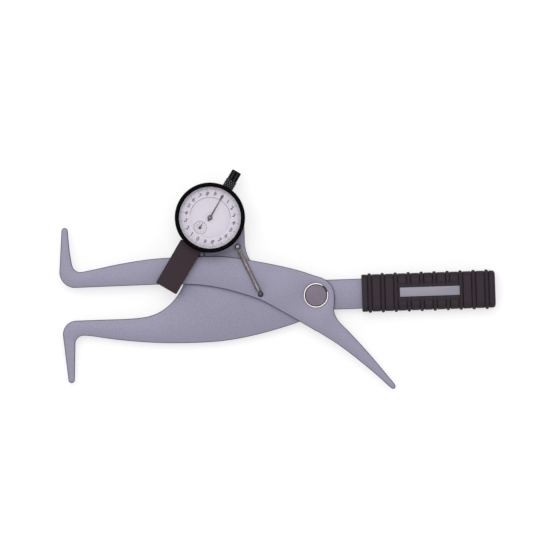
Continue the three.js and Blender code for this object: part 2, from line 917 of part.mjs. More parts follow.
function capCollar() {
  const foot = caseInner - stemFlangeThickness;
  const start = caseRadius + seatGap;
  const ridges = wavy(collarRadius, collarRidgeDepth, collarRidges, 2);
  const outside = slabAlongY(ridges, start, collarEnd, collarRidgeDepth);
  const inside = barAlongY(stemRadius, foot, start + seatGap);
  const bore = revolvedAlongY(
    [
      [0, foot - overrun],
      [capBore, foot - overrun],
      [capBore, collarEnd - spigotLength - seatGap],
      [spigotRadius + seatGap, collarEnd - spigotLength - seatGap],
      [spigotRadius + seatGap, collarEnd + overrun],
      [0, collarEnd + overrun],
    ],
    pinSides,
  );
  return cut(join(outside, inside), bore);
}

function dustCap() {
  const start = collarEnd + seatGap;
  const foot = collarEnd - spigotLength;
  const barrel = slabAlongY(wavy(capRadius, capFluteDepth, capFlutes, 4), start, capEnd, capFluteDepth);
  const spigot = barAlongY(spigotRadius, foot, start + overrun);
  const bore = barAlongY(capBore, foot - overrun, capEnd - capWall);
  return cut(join(barrel, spigot), bore);
}

// Gear teeth as straight-sided flanks at 20 degrees about the pitch circle
const flank = Math.tan(degrees(20));

function gearOutline(teeth, phase) {
  const pitch = pitchRadius(teeth);
  const tip = tipRadius(teeth);
  const foot = pitch - gearModule - gearClearance;
  const width = (Math.PI * gearModule - gearBacklash) / 2;
  const halfAt = (radius) => (width / 2 - (radius - pitch) * flank) / radius;
  const points = [];
  for (let i = 0; i < teeth; i++) {
    const middle = phase + (2 * Math.PI * i) / teeth;
    points.push(
      turned(middle - halfAt(foot), foot),
      turned(middle - halfAt(tip), tip),
      turned(middle + halfAt(tip), tip),
      turned(middle + halfAt(foot), foot),
    );
  }
  return points;
}

// Turns a second gear so that it meshes with a first one at rest
function meshPhase(teeth, otherTeeth, otherPhase, bearing) {
  return bearing + Math.PI + (Math.PI - otherTeeth * (otherPhase - bearing)) / teeth;
}

const rackLine = spindleRadius - gearModule + gearClearance;
const rackWheelX = -rackLine - pitchRadius(rackPinionTeeth);
const rackWheel = flat(rackWheelX, Math.sqrt(rackWheelDistance ** 2 - rackWheelX ** 2));
const counter = turned(degrees(counterBearing), pitchRadius(counterWheelTeeth + centrePinionTeeth));
const rackBearing = rackWheel.angle();
const rackWheelPhase = meshPhase(rackWheelTeeth, centrePinionTeeth, 0, rackBearing);
const counterPhase = meshPhase(counterWheelTeeth, centrePinionTeeth, 0, degrees(counterBearing));

// How far the spindle follows the drive pin over the whole swing of the jaw
const pinRadius = drivePin.length();
const spindleAxis = dialUp.clone().negate();
const pinAngle = Math.asin(drivePin.dot(spindleAxis) / pinRadius);
const swing = degrees(jawSwing);
const spindleTravel = pinRadius * (Math.sin(pinAngle + swing) - Math.sin(pinAngle));
const spindleRatio = spindleTravel / swing;
const coverEnd = drivePinPlace + spindleTravel + drivePinRadius + coverWall + coverMargin;

function spindle() {
  const bottom = -anvilReach + anvilThickness;
  const shaft = barAlongY(spindleRadius, bottom, spindleTop);
  const step = Math.PI * gearModule;
  const width = (step + gearBacklash) / 2;
  const foot = -rackLine + gearModule + gearClearance;
  const mouth = -spindleRadius - overrun;
  const halfAt = (x) => width / 2 + (-rackLine - x) * flank;
  const grooves = [];
  const last = Math.ceil(spindleTravel / step) + 2;
  for (let i = -2; i <= last; i++) {
    const y = rackWheel.y + i * step;
    const points = [
      flat(foot, y - halfAt(foot)),
      flat(foot, y + halfAt(foot)),
      flat(mouth, y + halfAt(mouth)),
      flat(mouth, y - halfAt(mouth)),
    ];
    grooves.push(slab(points, stemLevel - spindleRadius, stemLevel + spindleRadius));
  }
  return cut(shaft, ...grooves);
}

// The flat foot that rests on the drive pin all along its sideways path
function contactAnvil() {
  return block(
    [-anvilLeft, -anvilReach, stemLevel - anvilDepth / 2],
    [anvilRight, -anvilReach + anvilThickness - seatGap, stemLevel + anvilDepth / 2],
  );
}

function guidePin() {
  const back = backFront - guideGrooveDepth + runningGap;
  return rod(guidePinRadius, back, stemLevel - spindleRadius - runningGap, smallSides, 0, guidePinPlace);
}

function rackPinion() {
  const half = rackPinionWidth / 2;
  const teeth = slab(gearOutline(rackPinionTeeth, 0), stemLevel - half, stemLevel + half);
  const end = backFront + runningGap;
  const shaft = revolved(
    [
      [0, end],
      [pivotPinRadius, end],
      [pivotPinRadius, end + wheelWidth],
      [arborRadius, end + wheelWidth],
      [arborRadius, frontPlatineBack - runningGap],
      [pivotPinRadius, frontPlatineBack - runningGap],
      [pivotPinRadius, frontPlatineFront],
      [0, frontPlatineFront],
    ],
    smallSides,
  );
  return join(teeth, shaft).translate([rackWheel.x, rackWheel.y, 0]);
}

function rackWheelDisc() {
  const front = wheelLevel + wheelWidth;
  const disc = slab(gearOutline(rackWheelTeeth, rackWheelPhase), wheelLevel, front);
  const bore = hole(arborRadius + runningGap, wheelLevel, front, smallSides);
  return cut(disc, bore).translate([rackWheel.x, rackWheel.y, 0]);
}

function centrePinion() {
  const back = rearPlatineFront + runningGap;
  const teeth = slab(gearOutline(centrePinionTeeth, 0), back, back + centrePinionWidth);
  const top = faceFront + handClearance + mainHandHubHeight - seatGap;
  return join(teeth, rod(arborRadius, rearPlatineBack + runningGap, top, smallSides));
}

function counterWheel() {
  const disc = slab(gearOutline(counterWheelTeeth, counterPhase), wheelLevel, wheelLevel + wheelWidth);
  const top = faceFront + handClearance / 2 + smallHandThickness;
  const shaft = rod(pivotPinRadius, rearPlatineBack + runningGap, top, smallSides);
  return join(disc, shaft).translate([counter.x, counter.y, 0]);
}

const pillars = pillarBearingShares.map((share) => turned(2 * Math.PI * share, pillarCircle));

// One of the two movement plates, with bearings for the three arbors and holes for the pillar screws
function platine(back, front, rackShaftRadius) {
  const bearing = (radius, place) => hole(radius + runningGap, back, front, smallSides, place);
  const holes = [
    bearing(arborRadius),
    bearing(rackShaftRadius, rackWheel),
    bearing(pivotPinRadius, counter),
    ...pillars.map((place) => hole(pillarScrewRadius + seatGap, back, front, smallSides, place)),
  ];
  return cut(rod(platineRadius, back, front, boreSides), ...holes);
}

// A hollow pillar under or between the two movement plates
function pillar(p, back, front, holeBack) {
  const post = rod(pillarRadius, back, front, smallSides, p.x, p.y);
  return cut(post, rod(pillarScrewRadius + seatGap, holeBack, front + overrun, smallSides, p.x, p.y));
}

// A long screw that holds both movement plates on one pillar
function pillarScrew(p) {
  const tip = rearPlatineBack - pillarScrewDepth + seatGap;
  const top = frontPlatineFront + pillarScrewHeadThickness;
  return revolved(
    [
      [0, tip],
      [pillarScrewRadius, tip],
      [pillarScrewRadius, frontPlatineFront],
      [pillarScrewHead, frontPlatineFront],
      [pillarScrewHead, top],
      [0, top],
    ],
    smallSides,
    p.x,
    p.y,
  );
}

// Hairspring: a flat spiral round the counter arbor, ending at a stud in the front plate
const hairspringBack = wheelLevel + wheelWidth + runningGap;

function hairspring() {
  const steps = Math.round(hairspringTurns * 2 * curlSteps);
  const side = (offset) => {
    const points = [];
    for (let i = 0; i <= steps; i++) {
      const radius = hairspringInner + ((hairspringOuter - hairspringInner) * i) / steps + offset;
      points.push(turned((2 * Math.PI * hairspringTurns * i) / steps, radius).add(counter));
    }
    return points;
  };
  const points = [...side(hairspringStrip / 2), ...side(-hairspringStrip / 2).reverse()];
  return slab(points, hairspringBack, hairspringBack + hairspringHeight);
}

function hairspringStud() {
  const reach = hairspringOuter + hairspringStrip + seatGap + studRadius;
  const place = turned(2 * Math.PI * hairspringTurns, reach).add(counter);
  return rod(studRadius, hairspringBack, frontPlatineBack, smallSides, place.x, place.y);
}

// Hands
function mainHand() {
  const back = faceFront + handClearance;
  const needleShares = [
    [-0.142, -0.03],
    [0.09, -0.022],
    [0.8, -0.016],
    [0.86, -0.042],
    [1, 0],
    [0.86, 0.042],
    [0.8, 0.016],
    [0.09, 0.022],
    [-0.142, 0.03],
  ];
  const needle = needleShares.map(([along, across]) => flat(across * mainHandLength, along * mainHandLength));
  const blade = slab(needle, back + seatGap, back + seatGap + mainHandThickness);
  const top = back + mainHandHubHeight;
  const hub = rod(mainHandHubRadius, back, top, pinSides);
  const bore = rod(arborRadius + runningGap / 2, back - overrun, top - seatGap / 2, smallSides);
  return cut(join(blade, hub), bore);
}

function smallHand() {
  const back = faceFront + handClearance / 2;
  const heading = degrees(90 - smallHandBearing);
  const along = turned(heading, smallHandLength);
  const behind = turned(heading + Math.PI, smallHandTail);
  const side = turned(heading + Math.PI / 2, smallHandHubRadius / 3);
  const ahead = behind.clone().negate();
  const otherSide = side.clone().negate();
  const points = [
    along,
    side.clone().add(ahead),
    side.clone().add(behind),
    otherSide.clone().add(behind),
    otherSide.clone().add(ahead),
  ];
  const blade = slab(points, back, back + smallHandThickness);
  const hub = rod(smallHandHubRadius, back, back + 2 * smallHandThickness, smallSides);
  const boreEnd = back + smallHandThickness + seatGap / 2;
  const bore = rod(pivotPinRadius + runningGap / 2, back - overrun, boreEnd, smallSides);
  return cut(join(blade, hub), bore).translate([counter.x, counter.y, 0]);
}

// A round wire swept along points, closed at both ends
function wire(points, radius) {
  const positions = [];
  let normal = new THREE.Vector3(0, 0, 1);
  points.forEach((point, i) => {
    const before = points[Math.max(i - 1, 0)];
    const after = points[Math.min(i + 1, points.length - 1)];
    const heading = after.clone().sub(before).normalize();
    normal = normal.clone().addScaledVector(heading, -normal.dot(heading)).normalize();
    const side = new THREE.Vector3().crossVectors(heading, normal);
    for (let k = 0; k < wireSides; k++) {
      const angle = (2 * Math.PI * k) / wireSides;
      const rim = point.clone().addScaledVector(normal, Math.cos(angle) * radius);
      positions.push(...rim.addScaledVector(side, Math.sin(angle) * radius).toArray());
    }
  });
  const index = [];
  for (let r = 0; r + 1 < points.length; r++)
    for (let k = 0; k < wireSides; k++) {
      const [a, b] = [r * wireSides + k, r * wireSides + ((k + 1) % wireSides)];
      index.push(a, b, a + wireSides, b, b + wireSides, a + wireSides);
    }
  const last = (points.length - 1) * wireSides;
  for (let k = 1; k + 1 < wireSides; k++) index.push(0, k + 1, k, last, last + k, last + k + 1);
  const geometry = new THREE.BufferGeometry();
  geometry.setAttribute("position", new THREE.Float32BufferAttribute(positions, 3));
  geometry.setIndex(index);
  return solid(geometry);
}

// Centre line of a tension spring between two pins: hook, coil and hook, the coil centred between them
function springLine(start, end, level, radius, turns, pitch, hook, lead) {
  const along = end.clone().sub(start);
  const span = along.length();
  along.normalize();
  const across = flat(-along.y, along.x);
  const at = (t, s, h) => {
    const p = start.clone().addScaledVector(along, t).addScaledVector(across, s);
    return new THREE.Vector3(p.x, p.y, level + h);
  };
  const coil = turns * pitch;
  const first = (span - coil) / 2;
  const points = [];
  const hookSteps = 6;
  points.push(at(lead, -hook, 0));
  for (let i = 0; i <= hookSteps; i++) {
    const angle = Math.PI * (1 + i / hookSteps);
    points.push(at(Math.sin(angle) * hook, Math.cos(angle) * hook, 0));
  }
  for (let i = 0; i <= turns * curlSteps; i++) {
    const angle = (2 * Math.PI * i) / curlSteps;
    points.push(at(first + (pitch * i) / curlSteps, Math.cos(angle) * radius, Math.sin(angle) * radius));
  }
  for (let i = 0; i <= hookSteps; i++) {
    const angle = Math.PI * (i / hookSteps);
    points.push(at(span + Math.sin(angle) * hook, Math.cos(angle) * hook, 0));
  }
  points.push(at(span - lead, -hook, 0));
  return points;
}

// Least distance between stretches of a wire that aren't neighbours, less the wire itself
function leastGap(points, radius, apart) {
  let least = Infinity;
  for (let i = 0; i < points.length; i++)
    for (let j = i + apart; j < points.length; j++)
      least = Math.min(least, points[i].distanceTo(points[j]));
  return (least - 2 * radius).toFixed(2);
}

const hookRadius = postRadius + wireRadius + seatGap;
const springPoints = springLine(
  anchor,
  springPin,
  springLevel,
  coilRadius,
  coilTurns,
  coilPitch,
  hookRadius,
  hookLead,
);
console.log("least gap of the jaw spring", leastGap(springPoints, wireRadius, curlSteps - 1));

// Spring that draws the spindle out, from the guide pin to a post on the case's back
const returnHook = guidePinRadius + returnWireRadius + seatGap;
const returnStart = flat(0, guidePinPlace);
const returnEnd = flat(0, -returnPostPlace);
const returnCoil = guidePinPlace + returnPostPlace - 4 * returnHook - 2 * returnHookLead;
const returnPoints = springLine(
  returnStart,
  returnEnd,
  returnLevel,
  returnCoilRadius,
  returnCoilTurns,
  returnCoil / returnCoilTurns,
  returnHook,
  returnHookLead,
);
console.log("least gap of the spindle spring", leastGap(returnPoints, returnWireRadius, curlSteps - 1));
console.log("spindle travel per radian of jaw swing", spindleRatio.toFixed(3));

// Finishes
const blastedSteel = { color: "#9499ac", roughness: 0.55, metalness: 0.6 };
const pivotSteel = { color: "#857f88", roughness: 0.35, metalness: 0.9 };
const springWire = { color: "#d8d2cc", roughness: 0.15, metalness: 1 };
const brightSteel = { color: "#c3c4c8", roughness: 0.25, metalness: 1 };
const darkSteel = { color: "#4a4a52", roughness: 0.35, metalness: 1 };
const tanSteel = { color: "#a79a8c", roughness: 0.3, metalness: 1 };
const blueSteel = { color: "#3c4a78", roughness: 0.3, metalness: 1 };
const screwSteel = { color: "#6d6d73", roughness: 0.35, metalness: 1 };
const backSteel = { color: "#8c8d92", roughness: 0.4, metalness: 0.9 };
const brass = { color: "#b08d4f", roughness: 0.3, metalness: 1 };
const darkPlastic = { color: "#3a3239", roughness: 0.6, metalness: 0 };
const plateSilver = { color: "#aab0c0", roughness: 0.35, metalness: 0.8 };
const caseBlack = { color: "#2a2a2e", roughness: 0.4, metalness: 0.3 };
const capBlack = { color: "#1d1d20", roughness: 0.45, metalness: 0.2 };
const bezelBlack = { color: "#17171a", roughness: 0.35, metalness: 0.1 };
const glass = { color: "#f4f4f8", roughness: 0.05, metalness: 0 };
const faceWhite = { color: "#e9e4ee", roughness: 0.6, metalness: 0 };

// Jaws, pivot, pins and the spring that opens the jaws
const framePlateLevels = [frameBack, frameFront];
const leverPlateLevels = [leverBack, leverFront];
const stopPinTop = frameFront + stopPinHeight;
const postEnd = postTop + postHeadThickness;
const stopPinSolid = shouldered(stopPin, framePlateLevels, stopPinRadius, stopPinRadius, stopPinTop);
const anchorSolid = shouldered(anchor, framePlateLevels, postRadius, postRadius, postEnd, postHeadRadius);
const hookPinSolid = shouldered(springPin, leverPlateLevels, postRadius, postRadius, postEnd, postHeadRadius);
const drivePinSolid = shouldered(drivePin, leverPlateLevels, drivePinShank, drivePinRadius, drivePinTop);
piece(root, "frame_plate", framePlate(), blastedSteel);
piece(root, "lever_plate", leverPlate(), blastedSteel);
piece(root, "pivot_stud", pivotStud(), pivotSteel);
piece(root, "snap_ring", snapRing(), springWire);
piece(root, "pivot_washer", pivotWasher(), brightSteel);
piece(root, "stop_pin", stopPinSolid, brightSteel);
piece(root, "spring_anchor", anchorSolid, brightSteel);
piece(root, "spring_pin", hookPinSolid, darkSteel);
piece(root, "drive_pin", drivePinSolid, brightSteel);
piece(root, "jaw_spring", wire(springPoints, wireRadius), tanSteel);

// Grip
piece(grip, "grip", gripSleeve(), darkPlastic);
piece(grip, "label_plate", labelPlate(), plateSilver);

// Dial indicator's housing and its fixing to the tower
const dialScrewTip = backFront + bossHeight - 2 * seatGap;
const coverScrewTip = stemLevel - stemRadius - 3 * seatGap;
dialScrews.forEach((p, i) => piece(dial, `dial_screw_${i + 1}`, screw(p, dialScrewTip), screwSteel));
coverScrews.forEach((p, i) => piece(dial, `cover_screw_${i + 1}`, screw(p, coverScrewTip), screwSteel));
piece(dial, "spindle_cover", spindleCover(), darkPlastic);
piece(dial, "case_back", caseBack(), backSteel);
piece(dial, "dial_case", dialCase(), caseBlack);
piece(dial, "stem", stem(), brightSteel);
piece(dial, "bezel", bezel(), bezelBlack);
piece(dial, "crystal", crystal(), glass);
piece(dial, "dial_ring", dialRing(), faceWhite);
piece(dial, "dial_disc", dialDisc(), faceWhite);
piece(dial, "cap_collar", capCollar(), capBlack);
piece(dial, "dust_cap", dustCap(), capBlack);

// Spindle and the movement that it drives
const returnPostTop = returnLevel + returnCoilRadius;
const returnPost = rod(returnPostRadius, backFront, returnPostTop, smallSides, 0, -returnPostPlace);
piece(dial, "spindle", spindle(), brightSteel);
piece(dial, "contact_anvil", contactAnvil(), brightSteel);
piece(dial, "guide_pin", guidePin(), brightSteel);
piece(dial, "return_spring", wire(returnPoints, returnWireRadius), brightSteel);
piece(dial, "return_spring_post", returnPost, brass);
piece(dial, "rack_pinion", rackPinion(), brightSteel);
piece(dial, "rack_wheel", rackWheelDisc(), brass);
piece(dial, "centre_pinion", centrePinion(), brightSteel);
piece(dial, "counter_wheel", counterWheel(), brass);
piece(dial, "rear_movement_plate", platine(rearPlatineBack, rearPlatineFront, arborRadius), brass);
piece(dial, "front_movement_plate", platine(frontPlatineBack, frontPlatineFront, pivotPinRadius), brass);
const rearHole = rearPlatineBack - pillarScrewDepth;
const frontHole = rearPlatineFront - overrun;
pillars.forEach((place, i) => {
  piece(dial, `rear_pillar_${i + 1}`, pillar(place, backFront, rearPlatineBack, rearHole), brass);
  piece(dial, `front_pillar_${i + 1}`, pillar(place, rearPlatineFront, frontPlatineBack, frontHole), brass);
  piece(dial, `pillar_screw_${i + 1}`, pillarScrew(place), brightSteel);
});
piece(dial, "hairspring", hairspring(), blueSteel);
piece(dial, "hairspring_stud", hairspringStud(), brass);
piece(dial, "main_hand", mainHand(), capBlack);
piece(dial, "small_hand", smallHand(), capBlack);

export default root;
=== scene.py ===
# Looks of the inside dial caliper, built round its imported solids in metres.
import math

import bmesh
import bpy
from mathutils import Matrix, Vector


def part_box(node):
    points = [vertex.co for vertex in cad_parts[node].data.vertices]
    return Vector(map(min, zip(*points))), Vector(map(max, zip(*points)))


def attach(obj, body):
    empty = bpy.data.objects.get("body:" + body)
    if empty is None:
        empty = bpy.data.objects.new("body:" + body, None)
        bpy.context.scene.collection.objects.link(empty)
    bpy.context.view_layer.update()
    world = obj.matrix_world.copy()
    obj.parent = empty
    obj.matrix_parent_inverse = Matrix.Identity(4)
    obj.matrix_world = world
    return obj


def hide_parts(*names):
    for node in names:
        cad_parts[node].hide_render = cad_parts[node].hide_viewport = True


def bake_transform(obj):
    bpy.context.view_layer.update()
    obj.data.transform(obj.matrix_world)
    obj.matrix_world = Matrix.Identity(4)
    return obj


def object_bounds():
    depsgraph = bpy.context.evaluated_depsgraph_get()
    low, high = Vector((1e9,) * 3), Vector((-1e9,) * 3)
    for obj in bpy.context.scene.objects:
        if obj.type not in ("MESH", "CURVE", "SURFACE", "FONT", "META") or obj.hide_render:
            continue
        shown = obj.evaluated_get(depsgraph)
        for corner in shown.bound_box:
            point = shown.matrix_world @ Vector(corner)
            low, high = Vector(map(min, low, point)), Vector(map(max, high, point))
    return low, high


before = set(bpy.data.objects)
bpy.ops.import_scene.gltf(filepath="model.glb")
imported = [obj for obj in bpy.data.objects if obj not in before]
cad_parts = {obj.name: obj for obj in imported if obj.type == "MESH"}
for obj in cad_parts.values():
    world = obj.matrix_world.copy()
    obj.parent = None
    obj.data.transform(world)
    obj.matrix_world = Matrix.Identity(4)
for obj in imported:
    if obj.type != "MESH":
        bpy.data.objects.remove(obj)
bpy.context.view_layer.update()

scene = bpy.context.scene
MM = 0.001
TURN = 2 * math.pi
WELD = 1e-6
SHARP, SHARP_SIDE = 32, 40
ON_AXIS = 1e-4
CORNER_SHARE = 0.45
BEVEL = [(1, 0), (0.9, 0.03), (0.03, 0.9), (0, 1)]
QUARTERS = ((1, 1, 0), (-1, 1, 90), (-1, -1, 180), (1, -1, 270))


# ---------------------------------------------------------------- points and places

def mm(x, y, z=0.0):
    """A point given in millimetres."""
    return Vector((x * MM, y * MM, z * MM))


def turned(degrees, axis="Z"):
    return Matrix.Rotation(math.radians(degrees), 4, axis)


def round_point(radius, degrees):
    angle = math.radians(degrees)
    return Vector((math.cos(angle) * radius, math.sin(angle) * radius))


def circle(radius, sides=64, x=0.0, y=0.0, flatten=1.0):
    return [(x + math.cos(TURN * k / sides) * radius, y + math.sin(TURN * k / sides) * radius * flatten)
            for k in range(sides)]


def middle(node):
    low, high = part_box(node)
    return (low + high) / 2


def top(node):
    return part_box(node)[1].z / MM


def bottom(node):
    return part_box(node)[0].z / MM


def spot(node):
    """A node's middle in the plane, as a place to build at."""
    p = middle(node)
    return Matrix.Translation((p.x, p.y, 0))


DIAL_TILT, GRIP_TILT = -30, 1.9
GRIP_START = mm(36.8, 1.64)
dial_middle = middle("bezel")
stem_level = middle("spindle").z / MM
DIAL = Matrix.Translation((dial_middle.x, dial_middle.y, 0)) @ turned(DIAL_TILT)
GRIP = Matrix.Translation(GRIP_START) @ turned(GRIP_TILT)
ALONG = DIAL @ Matrix.Translation(mm(0, 0, stem_level)) @ turned(-90, "X")


# ---------------------------------------------------------------- meshes

def from_bmesh(name, bm, sharp=SHARP, place=None):
    """A mesh as an object in its place, smooth apart from sharp edges and faces tagged as flat."""
    bmesh.ops.recalc_face_normals(bm, faces=bm.faces)
    for face in bm.faces:
        face.smooth = not face.tag
    mesh = bpy.data.meshes.new(name)
    bm.to_mesh(mesh)
    bm.free()
    mesh.set_sharp_from_angle(angle=math.radians(sharp))
    if place is not None:
        mesh.transform(place)
    obj = bpy.data.objects.new(name, mesh)
    scene.collection.objects.link(obj)
    return obj


def combined(name, objects):
    """Several objects as one."""
    bm = bmesh.new()
    for obj in objects:
        bm.from_mesh(obj.data)
        bpy.data.objects.remove(obj)
    return from_bmesh(name, bm)


def evaluated_mesh(obj):
    """The mesh that an object's curve or modifiers make."""
    bpy.context.view_layer.update()
    return bpy.data.meshes.new_from_object(obj.evaluated_get(bpy.context.evaluated_depsgraph_get()))


def carved(obj, *tools, operation="DIFFERENCE"):
    """The object with other objects cut out of it or joined to it."""
    for tool in tools:
        modifier = obj.modifiers.new("cut", "BOOLEAN")
        modifier.operation = operation
        modifier.solver = "EXACT"
        modifier.object = tool
        made = evaluated_mesh(obj)
        obj.modifiers.clear()
        obj.data = made
        bpy.data.objects.remove(tool)
    bm = bmesh.new()
    bm.from_mesh(obj.data)
    bmesh.ops.remove_doubles(bm, verts=bm.verts, dist=WELD)
    bm.to_mesh(obj.data)
    bm.free()
    obj.data.set_sharp_from_angle(angle=math.radians(SHARP))
    return obj


def rimmed(obj, low=0.25, high=0.93):
    """Gives the bevels that lie between two steepnesses the object's second finish, a darker one that is
    painted shade along the rims.
    """
    for face in obj.data.polygons:
        face.material_index = int(low < abs(face.normal.z) < high)
    return obj


def crested(obj, place, radius):
    """Gives the faces farther than a radius from a place's axis the object's second finish, a lighter one
    that is a painted highlight on the crests.
    """
    back = place.inverted()
    for face in obj.data.polygons:
        face.material_index = int((back @ face.center).xy.length > radius * MM)
    return obj


def eased(points, radius, closed=False, steps=3):
    """A profile with its corners rounded. The two ends of an open one stay."""
    made = []
    count = len(points)
    for i, p in enumerate(points):
        here = Vector(p)
        if not closed and i in (0, count - 1):
            made.append(here)
            continue
        before, after = Vector(points[i - 1]), Vector(points[(i + 1) % count])
        reach = min(radius, (before - here).length * CORNER_SHARE, (after - here).length * CORNER_SHARE)
        start = here + (before - here).normalized() * reach
        end = here + (after - here).normalized() * reach
        for k in range(steps + 1):
            t = k / steps
            made.append(start * (1 - t) ** 2 + here * 2 * t * (1 - t) + end * t ** 2)
    return made


def bridge(bm, low, high):
    """The faces between two rings, one of which may be a single point."""
    count = max(len(low), len(high))
    for k in range(count if count > 1 else 0):
        n = (k + 1) % count
        if len(low) == 1:
            bm.faces.new((low[0], high[n], high[k]))
        elif len(high) == 1:
            bm.faces.new((low[k], low[n], high[0]))
        else:
            bm.faces.new((low[k], low[n], high[n], high[k]))


def bridge_all(bm, rings, closed=False):
    for low, high in zip(rings, rings[1:] + (rings[:1] if closed else [])):
        bridge(bm, low, high)


def tube(bm, rings, closed=False):
    """The faces round a row of rings, with a face at each end unless the row is closed."""
    bridge_all(bm, rings, closed)
    if not closed:
        bm.faces.new(rings[0])
        bm.faces.new(rings[-1][::-1])


def lathe(name, profile, sides=96, ease=0.0, closed=False, waves=None, place=None):
    """A profile of radius and level in millimetres turned about Z. waves gives how far it is cut in."""
    bm = bmesh.new()
    rings = []
    for p in eased(profile, ease, closed) if ease else [Vector(p) for p in profile]:
        if p.x < ON_AXIS:
            rings.append([bm.verts.new(mm(0, 0, p.y))])
            continue
        ring = []
        for k in range(sides):
            angle = TURN * k / sides
            radius = p.x - (waves(angle, p) if waves else 0)
            ring.append(bm.verts.new(mm(math.cos(angle) * radius, math.sin(angle) * radius, p.y)))
        rings.append(ring)
    bridge_all(bm, rings, closed)
    return from_bmesh(name, bm, place=place)


def side_profile(back, front, edge, steps, bevel):
    """How far in and how high each line up a slab's side lies, its two rims rounded or bevelled."""
    arcs = [(TURN / 4) * k / steps for k in range(steps + 1)]
    shape = BEVEL if bevel else [(1 - math.sin(a), 1 - math.cos(a)) for a in arcs]
    profile = [(edge * inset, back + edge * level) for inset, level in shape]
    return profile + [(inset, front + back - level) for inset, level in reversed(profile)]


def signed_area(loop):
    """Twice the area of a loop, positive where the loop runs counterclockwise."""
    return sum(a[0] * b[1] - b[0] * a[1] for a, b in zip(loop, loop[1:] + loop[:1]))


def inward_sides(points):
    """The direction square to a counterclockwise loop at each of its points, inwards."""
    made = []
    for before, after in zip(points[-1:] + points[:-1], points[1:] + points[:1]):
        along = (Vector(after) - Vector(before)).normalized()
        made.append(Vector((-along.y, along.x)))
    return made


def slab(name, loops, back, front, edge=0.3, steps=4, place=None, bevel=False):
    """Flat loops, the outer one first, pulled up between two levels. Millimetres."""
    profile = side_profile(back, front, edge, steps, bevel)
    bm = bmesh.new()
    ends = ([], [])
    for which, loop in enumerate(loops):
        points = loop if (signed_area(loop) > 0) == (which == 0) else loop[::-1]
        sides = inward_sides(points)
        rings = [[bm.verts.new(mm(*(Vector(p) + side * inset), level)) for p, side in zip(points, sides)]
                 for inset, level in profile]
        bridge_all(bm, rings)
        for cap, ring in zip(ends, (rings[0], rings[-1])):
            cap += [bm.edges.get(pair) for pair in zip(ring, ring[1:] + ring[:1])]
    for cap in ends:
        filled = bmesh.ops.triangle_fill(bm, use_beauty=True, use_dissolve=False, edges=cap)
        for face in filled["geom"]:
            face.tag = isinstance(face, bmesh.types.BMFace)
    return from_bmesh(name, bm, SHARP_SIDE, place)


def box(name, low, high, edge=0.0, place=None):
    """A block between two corners in millimetres, its edges rounded."""
    bm = bmesh.new()
    bmesh.ops.create_cube(bm, size=1)
    size = [b - a for a, b in zip(low, high)]
    for v in bm.verts:
        v.co = Vector((a + s * (c + 0.5)) * MM for a, s, c in zip(low, size, v.co))
    if edge:
        bmesh.ops.bevel(bm, geom=bm.edges[:], offset=edge * MM, segments=3, profile=0.5, affect="EDGES")
    return from_bmesh(name, bm, place=place)


def swept(name, points, section, closed=False):
    """A section of (side, up) points swept along a line, its ends closed. Millimetres.
    The section may be a function of how far along the line it is, from 0 to 1."""
    bm = bmesh.new()
    line = [Vector(p) for p in points]
    up = Vector((0, 0, 1))
    rings = []
    for i, p in enumerate(line):
        before = line[i - 1] if closed or i else p
        after = line[(i + 1) % len(line)] if closed or i + 1 < len(line) else p
        heading = (after - before).normalized()
        up = (up - heading * up.dot(heading)).normalized()
        side = heading.cross(up)
        corners = section(i / (len(line) - 1)) if callable(section) else section
        rings.append([bm.verts.new((p + side * s + up * u) * MM) for s, u in corners])
    tube(bm, rings, closed)
    return from_bmesh(name, bm, SHARP_SIDE)


# ---------------------------------------------------------------- materials

def screen(r, g, b):
    """A colour as it shows on screen, from 0 to 255."""
    def linear(value):
        value /= 255
        return value / 12.92 if value <= 0.04045 else ((value + 0.055) / 1.055) ** 2.4
    return (linear(r), linear(g), linear(b), 1.0)


def add(tree, kind, **values):
    """A new shader node with its inputs set by name."""
    node = tree.nodes.new("ShaderNode" + kind)
    for name, value in values.items():
        node.inputs[name.replace("_", " ")].default_value = value
    return node


def noise(tree, mapping, size_mm, detail, roughness=0.55):
    node = add(tree, "TexNoise", Scale=1 / (size_mm * MM), Detail=detail, Roughness=roughness)
    tree.links.new(mapping.outputs["Vector"], node.inputs["Vector"])
    return node.outputs["Fac"]


def mottled(tree, mapping, colour, mottle, mottle_mm):
    """A colour that is darker and lighter in soft patches."""
    ramp = add(tree, "ValToRGB")
    dark, light = ramp.color_ramp.elements
    dark.position, light.position = 0.3, 0.7
    dark.color = [c * (1 - mottle) for c in colour[:3]] + [1]
    light.color = [min(c * (1 + mottle), 1) for c in colour[:3]] + [1]
    tree.links.new(noise(tree, mapping, mottle_mm, 4), ramp.inputs["Fac"])
    return ramp.outputs["Color"]


def worn_below(tree, place, shade, shaded_colour, low, high):
    """A colour with painted shade: darker below one level and its own, lighter colour above another."""
    axes, share, blend = add(tree, "SeparateXYZ"), add(tree, "MapRange"), add(tree, "Mix")
    blend.data_type = "RGBA"
    share.inputs["From Min"].default_value, share.inputs["From Max"].default_value = low * MM, high * MM
    blend.inputs["A"].default_value = screen(*shaded_colour)
    tree.links.new(place.outputs["Object"], axes.inputs["Vector"])
    tree.links.new(axes.outputs["Z"], share.inputs["Value"])
    tree.links.new(share.outputs["Result"], blend.inputs["Factor"])
    tree.links.new(shade, blend.inputs["B"])
    return blend.outputs["Result"]


def turning_marks(tree, place, height, pitch_mm):
    """A height with turning marks about the Z axis added."""
    rings = add(tree, "TexWave", Scale=1 / (20 * pitch_mm * MM) * TURN, Distortion=0.6)
    rings.wave_type, rings.rings_direction = "RINGS", "Z"
    mixed = add(tree, "Math")
    mixed.operation = "MULTIPLY_ADD"
    mixed.inputs[1].default_value = 0.8
    tree.links.new(place.outputs["Object"], rings.inputs["Vector"])
    tree.links.new(rings.outputs["Fac"], mixed.inputs[0])
    tree.links.new(height, mixed.inputs[2])
    return mixed.outputs[0]


